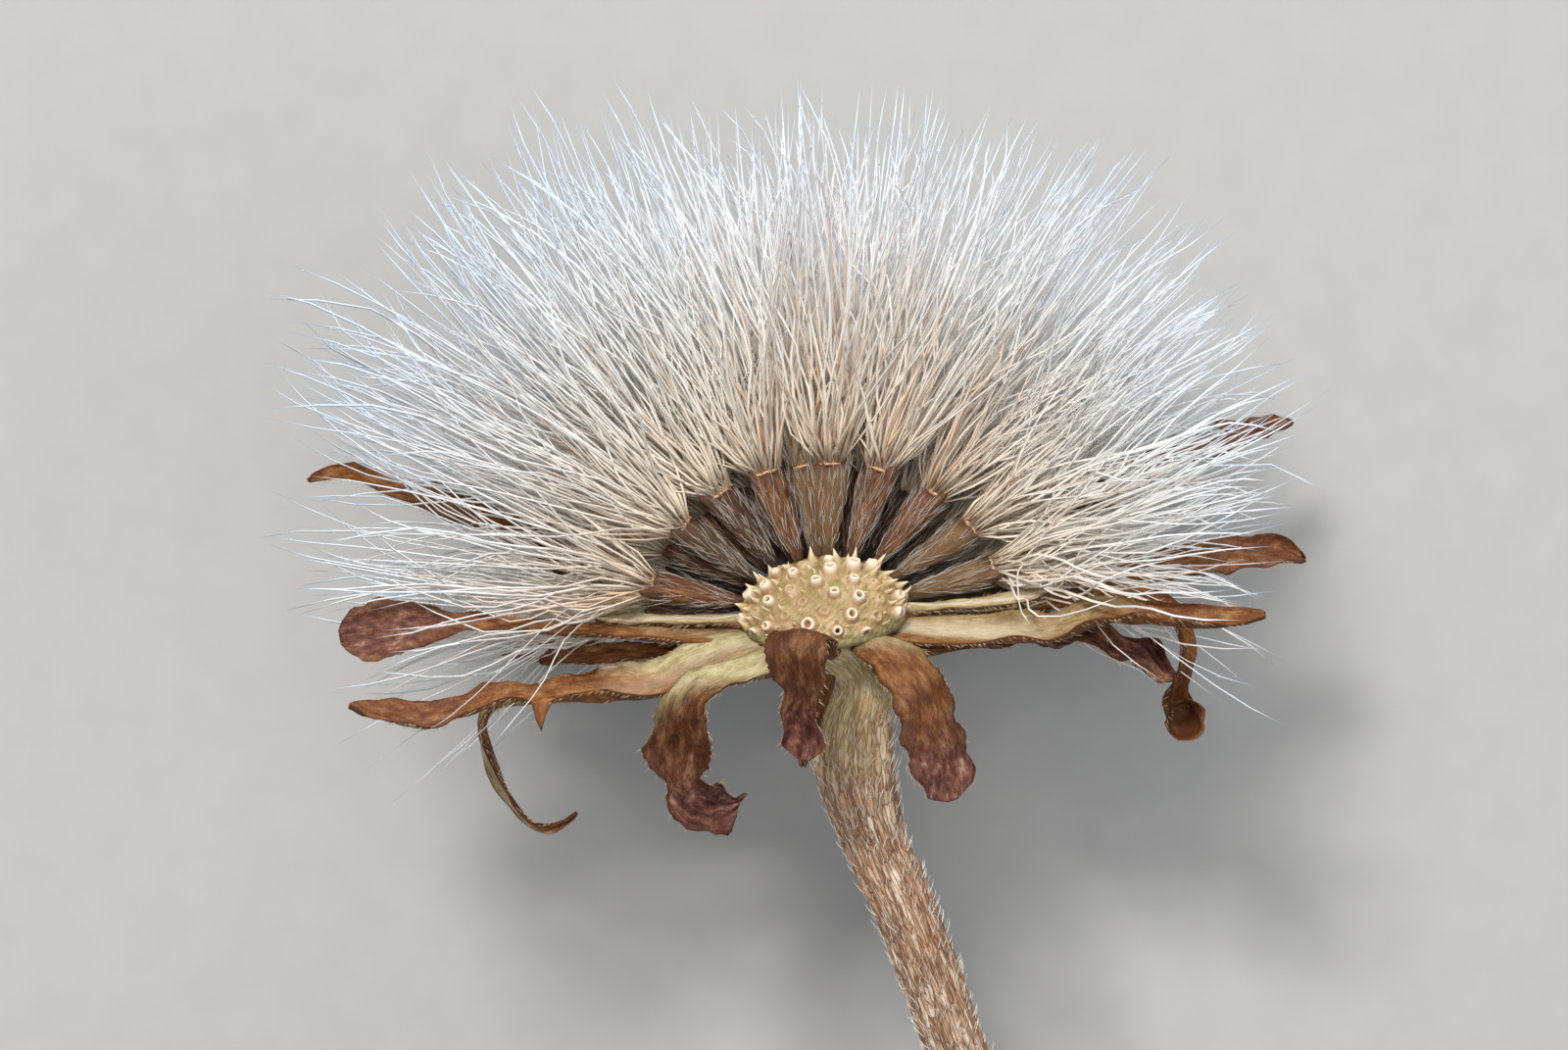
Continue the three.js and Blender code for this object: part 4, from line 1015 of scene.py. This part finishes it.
silver = Finish("silvery_hair", base_color="bab2a6", roughness=0.24, specular_ior_level=0.6)
index = np.arange(len(fruit) * ACHENE_HAIRS)
of = index // ACHENE_HAIRS
ring_at = (0.1 + 0.8 * chance(index, 71)) * (ACHENE_RINGS - 1)
around = (chance(index, 72) * ACHENE_SIDES).astype(int)
root = shells[of, ring_at.astype(int), around]
away = unit(root - (fruit_foot[of] + fruit_way[of] * (ring_at / (ACHENE_RINGS - 1) * ACHENE_LENGTH)[:, None]))
reach = (0.22 + 0.5 * chance(index, 73) ** 1.5)[:, None]
aslant = np.cross(fruit_way[of], away) * (chance(index, 75) - 0.5)[:, None] * 0.8
lift = away * (0.3 + chance(index, 74))[:, None]
leaving = fruit_way[of] + aslant + 0.4 * lift
hairs = bent_lines(root, reach * leaving, -0.25 * reach * lift, len(ACHENE_HAIR_TAPER))
piece(
    "ripe_achenes", "achenes", ["achenes"],
    (points, blocks, husk, {
        "place": np.stack([on_fruits(v) for v in (np.cos(turn) + 3.7 * own, np.sin(turn), 3 * s)], -1),
        "rib": on_fruits(np.clip(ribs / 0.06, 0, 1)),
        # Painted shade at each fruit's foot, and a few fruits darker all over.
        "dark": on_fruits(np.clip(0.35 * (1 - ease(s, 0.0, 0.3)) + 0.6 * (chance(own, 66) > 0.8), 0, 1)),
        "tint": on_fruits(1.0 * (chance(own, 68) > 0.75)),
        "top": on_fruits(ease(s, 0.9, 0.97)),
    }),
    (*strands(hairs, ACHENE_HAIR_TAPER), silver, {}),
)


# ---- Pappus ----
# The fruits' parachutes: a tuft of silky bristles on each achene, set with tiny barbs. They are creamy
# pink at the foot and silver white towards the tips, and fan out to fill the space between neighbours.

PAPPUS_REACH = 11.1
PAPPUS_PEAK = 1.8  # mm, how much further the crown's left shoulder reaches
PAPPUS_SPREAD = {  # bearing in degrees, and how much further the bristles reach that way in mm
    -10: -0.8, 0: -1.4, 8: -0.9, 16: -0.1, 24: 0.5, 34: 1.0, 44: 0.9, 58: 0.5, 66: -0.1, 90: 0.0, 104: 0.2,
    114: 1.2, 132: 0.9, 142: -0.1, 151: 0.9, 157: 0.1, 164: 0.2, 174: 0.0,
}
# Over the long bract on the left and a little at the right, the tufts part: the middle bearing, how far to
# each side of it, the share of the bristles that is missing there, and the chance it is drawn by.
PARTINGS = ((166, 5.5, 0.7, 105), (29.5, 2.6, 0.75, 114))
PAPPUS_RING = (0.33, 0.23)  # mm, half the width and the depth of the oval that a tuft stands on
PAPPUS_TOP = 13.7  # mm, the highest that a bristle stands above the table
PAPPUS_SIDE = 11.95  # mm, the furthest that one reaches to either side
BRISTLES = 102
WISPS = 13
GOLDEN_SHARE = 0.6180339887
BRISTLE_PLACES = 11
BRISTLE_RADIUS = 0.027
BRISTLE_TAPER = along({0: 1.0, 0.1: 1.2, 0.7: 0.95, 1: 0.65}, np.linspace(0, 1, BRISTLE_PLACES))
BARBS = 12
BARB_RADIUS = 0.01
BARB_TABLE_GAP = 0.02
FAN_LIMIT = 24  # degrees, the widest that a tuft opens
FAN_OVERLAP = 1.12
STRAY_ANGLE = math.radians(11)
SCATTER = 0.34  # how far tips stand from their wisp, as a share of the tuft's room
VEER = 0.46  # how far bristles turn away at random, for a reach of 1
DROOPING = 0.12  # share of a low tuft's bristles that droop
DROOP = np.array([0, -0.46, -0.4])
SWAY = (0.9, 0.28, 0.16)  # mm, in one half wave, in three and in five
TRIES, LEAN = 6, 0.06  # how often a bristle that meets a bract is drawn again, and how far it leans then
FLARE = 2.0  # mm along which a bristle leaves its fruit
RUN_OUT = 3.2  # mm along which it runs out to its tip
BRISTLE_CLEARANCE = 0.08
SILK_REACH = 8.4  # mm over which the silk's tones run
COLLAR = np.array([[0.8, -0.04], [0.96, -0.01], [1.0, 0.01], [0.95, 0.03], [0.7, 0.035], [0.35, 0.02]])
COLLAR_TURN = round_turn(24)

tuft_way = unit(fruit_top)
peak_way = unit(np.array([-0.84, 0, 0.55]))


def room_towards(own, towards):
    """How far, in degrees, a tuft opens each way before it would stand among another's bristles."""
    angles = np.radians(np.arange(2, FAN_LIMIT + 2))
    ways = np.cos(angles)[:, None, None] * tuft_way[own] + np.sin(angles)[:, None, None] * towards[None]
    closer = (ways @ np.delete(tuft_way, own, axis=0).T).max(-1) > ways @ tuft_way[own]
    return np.where(closer.any(0), closer.argmax(0) + 1, FAN_LIMIT)


# Balls along each bract, which the bristles keep clear of.
ball_middle = np.concatenate([centre[::4] for _, centre in bract_lines.values()])
ball_width = np.concatenate([
    along(BRACTS[name]["widths"], share)[::4] for name, (share, _) in bract_lines.items()
])
ball_radius = np.maximum(ball_width, 0.5) / 2


def meets_bract(lines):
    """Which lines come too near to a bract, beyond their first two places."""
    gap = np.linalg.norm(lines[:, 2:, None] - ball_middle, axis=-1)
    return (gap < ball_radius + BRISTLE_CLEARANCE).any((1, 2))


silk = Finish("pappus_silk", roughness=0.36, specular_ior_level=0.55)
# The silk runs from tan at the foot to white; the cool blue towards the tips is a painted highlight of light
# on them.
silk_tone = silk.ramp(
    silk.mark("reach"),
    (0.0, "9c6a45"), (0.016, "c79f75"), (0.06, "e6d5bd"), (0.25, "efe6d9"), (0.5, "ecebe8"), (0.72, "e6ebf1"),
    (1.0, "cbddf1"),
)
silk_coats = (silk.mark("warm") * (1.15 - silk.mark("reach")), "cda27a"), (silk.mark("shade"), "b4b0aa")
silk.set(base_color=silk.coated(silk_tone, *silk_coats))


def bezier(one, two, three, four, share):
    """A curve from the first point to the fourth, drawn towards the two between."""
    back = 1 - share
    return back**3 * one + 3 * back**2 * share * two + 3 * back * share**2 * three + share**3 * four


def bearing_of(points):
    """Each point's direction as it is seen from above: 0 is right, 90 is up the flower."""
    seen = points @ TURN.T
    return np.degrees(np.arctan2(seen[:, 1], seen[:, 0]))


for own in range(len(fruit)):
    count = np.arange(BRISTLES)
    index = count + 1000 * own

    def across(aside, behind):
        """What lies so far to the fruit's side and so far to its back."""
        return aside[..., None] * fruit_side[own] + behind[..., None] * fruit_back[own]

    # Bristles spread over the tuft's room, drawn together into a few wisps.
    spread = np.sqrt((count + 0.6) / BRISTLES)
    spin = 2 * np.pi * (count * GOLDEN_SHARE + chance(own, 81))
    disc = spread[:, None] * np.stack([np.cos(spin), np.sin(spin)], -1)
    wisp = disc[np.arange(WISPS) * 6 + 5] * 1.05
    nearest_wisp = np.linalg.norm(disc[:, None] - wisp, axis=-1).argmin(1)
    pull = 0.1 + 0.65 * chance(nearest_wisp + 40 * own, 97)
    tip_disc = disc + (wisp[nearest_wisp] - disc) * pull[:, None]
    tip_disc = tip_disc + SCATTER * (chances(index, 98, 99) - 0.5)
    stray = (chance(index, 101) > 0.86) * chance(index, 102)
    outwards = 0.3 * spread[:, None] * across(np.cos(spin), np.sin(spin))
    foot = across(PAPPUS_RING[0] * np.cos(spin), PAPPUS_RING[1] * np.sin(spin))
    foot = fruit_top[own] + (0.5 + 0.5 * spread)[:, None] * foot
    tip_spread = np.linalg.norm(tip_disc, axis=-1)
    tip_way = unit(across(*tip_disc.T))
    towards = unit(tip_way - (tip_way @ tuft_way[own])[:, None] * tuft_way[own])
    room = np.radians(room_towards(own, towards)) * FAN_OVERLAP
    angle = (room + STRAY_ANGLE * stray) * tip_spread
    # A few droop from the low tufts at the sides.
    low_tuft = (abs(tuft_way[own, 0]) > 0.8) & (tuft_way[own, 2] < 0.35)
    drooping = (chance(index, 111) < DROOPING * low_tuft)[:, None]
    veer = (chances(index, 106, 107, 108) - 0.5) * VEER + drooping * DROOP
    way = unit(np.cos(angle)[:, None] * tuft_way[own] + np.sin(angle)[:, None] * towards + veer)
    peak = PAPPUS_PEAK * np.maximum(0, way @ peak_way) ** 8 + along(PAPPUS_SPREAD, bearing_of(way))
    uneven = 0.9 * (chance(own, 83) - 0.5) + 0.8 * (chance(nearest_wisp + 40 * own, 100) - 0.6)
    short = 2.4 * chance(index, 84) ** 1.7 + 1.6 * (chance(index, 85) > 0.86)
    reach = PAPPUS_REACH + peak + uneven - short
    share = np.linspace(0, 1, BRISTLE_PLACES)[None, :, None]
    sway = ((chances(index, 86, 87, 88) - 0.5) * (1 - 0.6 * drooping))[:, None]
    curly = ((chance(index, 103) > 0.965) & ~low_tuft)[:, None, None] * share * 0.36
    coil = np.concatenate([np.sin(15 * share), np.cos(13 * share), np.sin(11 * share + 1)], -1)
    # Each bristle is drawn, and drawn again nearer to the axis for as long as it meets a bract.
    leaning = np.zeros(BRISTLES)
    for _ in range(TRIES):
        tip = unit(way + leaning[:, None] * [0, 0, 1.0]) * reach[:, None]
        high = REST_HEIGHT + tip @ TABLE_UP - PAPPUS_TOP
        tip = tip - np.maximum(high, 0)[:, None] * TABLE_UP
        wide = tip @ TURN[0]
        tip = tip - (wide - np.clip(wide, -PAPPUS_SIDE, PAPPUS_SIDE))[:, None] * TURN[0]
        straight = unit(tip - foot)
        flare = foot + FLARE * unit(0.62 * fruit_way[own] + 0.38 * straight + outwards)
        late = tip - straight * RUN_OUT + 1.5 * sway[:, 0, ::-1]
        line = (
            bezier(foot[:, None], flare[:, None], late[:, None], tip[:, None], share)
            + sway * SWAY[0] * np.sin(np.pi * share)
            + sway[:, :, [1, 2, 0]] * SWAY[1] * np.sin(3 * np.pi * share)
            + sway[:, :, [2, 0, 1]] * SWAY[2] * np.sin(5 * np.pi * share + 6 * sway[:, :, :1])
            + curly * coil
        )
        line = press_up(line, TABLE_GAP)
        leaning = leaning + LEAN * meets_bract(line)
    # None hangs down in front of the lower bracts, but for a few at each side. Few stand at a parting.
    bearing = bearing_of(tip)
    kept = (bearing > -6) | (bearing < -156) | ((bearing > -14) & (chance(index, 110) > 0.5))
    for middle, width, thinned, kind in PARTINGS:
        kept &= (np.abs(bearing - middle) > width) | (chance(index, kind) > thinned)
    line, index = line[kept], index[kept]
    thick = BRISTLE_RADIUS * (0.7 + 0.55 * chance(index, 89)) * (1 - 0.35 * drooping[kept, 0])
    bristles = strands(line, thick[:, None] * BRISTLE_TAPER)
    # Barbs leave each bristle forwards, all round it.
    barb = np.arange(len(index) * BARBS)
    of, rank = barb // BARBS, barb % BARBS
    spot = (0.03 + 0.93 * ((rank + chance(barb + 5000 * own, 90)) / BARBS) ** 1.2) * (BRISTLE_PLACES - 1)
    low = spot.astype(int)
    blend = (spot - low)[:, None]
    root = line[of, low] * (1 - blend) + line[of, low + 1] * blend
    ahead = unit(line[of, low + 1] - line[of, low])
    beside = chances(barb, 91, 92, 93) - 0.5
    beside = unit(beside - (beside * ahead).sum(-1, keepdims=True) * ahead)
    barb_end = root + (ahead * 0.9 + beside * 0.4) * (0.09 + 0.08 * chance(barb, 94))[:, None]
    barbs = strands(press_up(np.stack([root, barb_end], 1), BARB_TABLE_GAP), [BARB_RADIUS, 0])
    # The pale collar that the bristles stand on.
    oval_x, oval_y = COLLAR[:, :1] * np.cos(COLLAR_TURN), COLLAR[:, :1] * np.sin(COLLAR_TURN)
    collar = across(oval_x * PAPPUS_RING[0], oval_y * PAPPUS_RING[1]) + COLLAR[:, 1:, None] * fruit_way[own]
    collar = fruit_top[own] + collar

    def silky(points, blocks, warm, shade=0.0):
        """A layer of silk, with how far its points are from the top of the fruit."""
        reach = np.linalg.norm(points.reshape(-1, 3) - fruit_top[own], axis=-1) / SILK_REACH
        return points, blocks, silk, {"reach": reach, "warm": warm, "shade": shade}

    peachy = 0.7 * (chance(nearest_wisp[kept] + 40 * own, 112) > 0.62) + 0.6 * (chance(index, 95) > 0.85)
    each = len(bristles[0][0])
    warm = np.repeat(np.minimum(peachy, 1) * chance(index, 96), each)
    shade = np.repeat(0.4 * chance(index, 104) ** 2, each)
    piece(
        f"tuft_{own + 1:02d}", "pappus", [f"pappus_{own + 1:02d}"],
        silky(*bristles, warm, shade),
        silky(*barbs, 0.0),
        silky(*tube(collar, collar[0].mean(0), collar[-1].mean(0)), 1.0),
    )


# ---- Table, lights and camera ----
# A plain pale table under the flower, soft light from above and to the left, and a camera that looks
# straight down on it.

TABLE_HALF = 0.6
TABLE_ROWS = 13
ROOM_LIGHT = 0.36
LAMPS_AIM = 6.0  # mm above the table, in the middle of the head
LENS = 180
SENSOR_WIDTH = 36
FRAME_WIDTH = 33.33  # mm of the flower across the frame
FRAME_SHIFT = (-0.854, 1.927)  # mm from the receptacle's middle to the middle of the frame

table_top = Finish("pale_table", roughness=0.8, specular_ior_level=0.2)
speck = table_top.noise(table_top.node("ShaderNodeTexCoord", out="Object"), 900, 2.0)
table_top.set(base_color=table_top.ramp(speck, (0.3, "a7a6a4"), (0.7, "aaa9a7")))
steps = np.linspace(-TABLE_HALF, TABLE_HALF, TABLE_ROWS)
grid = np.stack([*np.meshgrid(steps, steps, indexing="ij"), np.zeros((TABLE_ROWS, TABLE_ROWS))], -1)
squares = ring_faces(TABLE_ROWS, TABLE_ROWS, closed=False)[:, ::-1]
mesh = bpy.data.meshes.new("table_top")
mesh.from_pydata(grid.reshape(-1, 3).tolist(), [], squares.tolist())
mesh.materials.append(table_top.material)
table = put_in("table_top", mesh)

world = bpy.data.worlds.new("soft_room")
world.use_nodes = True
background = world.node_tree.nodes["Background"]
background.inputs["Color"].default_value = (0.9, 0.95, 1.0, 1)
background.inputs["Strength"].default_value = ROOM_LIGHT
bpy.context.scene.world = world


def lamp(name, place, size, power, colour):
    light = bpy.data.lights.new(name, "AREA")
    light.shape = "DISK"
    light.size = size
    light.energy = power
    light.color = colour
    made = put_in(name, light)
    made.location = place
    aim = np.array([*MIDDLE[:2], LAMPS_AIM]) * MM
    made.rotation_mode = "QUATERNION"
    made.rotation_quaternion = Vector((aim - np.array(place)).tolist()).to_track_quat("-Z", "Y")


lamp("key", (-0.08, 0.17, 0.29), 0.07, 1.06, (1.0, 0.98, 0.95))
lamp("front", (0.03, 0.05, 0.35), 0.16, 0.33, (1.0, 0.98, 0.96))
lamp("fill", (0.25, -0.05, 0.2), 0.25, 0.16, (0.9, 0.95, 1.0))
lamp("back", (0.12, 0.3, 0.08), 0.1, 0.42, (0.88, 0.94, 1.0))

camera_data = bpy.data.cameras.new("above")
camera_data.lens = LENS
camera_data.sensor_width = SENSOR_WIDTH
camera_data.clip_start = 0.01
camera_data.clip_end = 5
camera = put_in("above", camera_data)
camera.location = (MIDDLE + [*FRAME_SHIFT, FRAME_WIDTH * LENS / SENSOR_WIDTH]) * MM
bpy.context.scene.camera = camera

bpy.context.scene.view_settings.view_transform = "Standard"

bpy.context.view_layer.update()
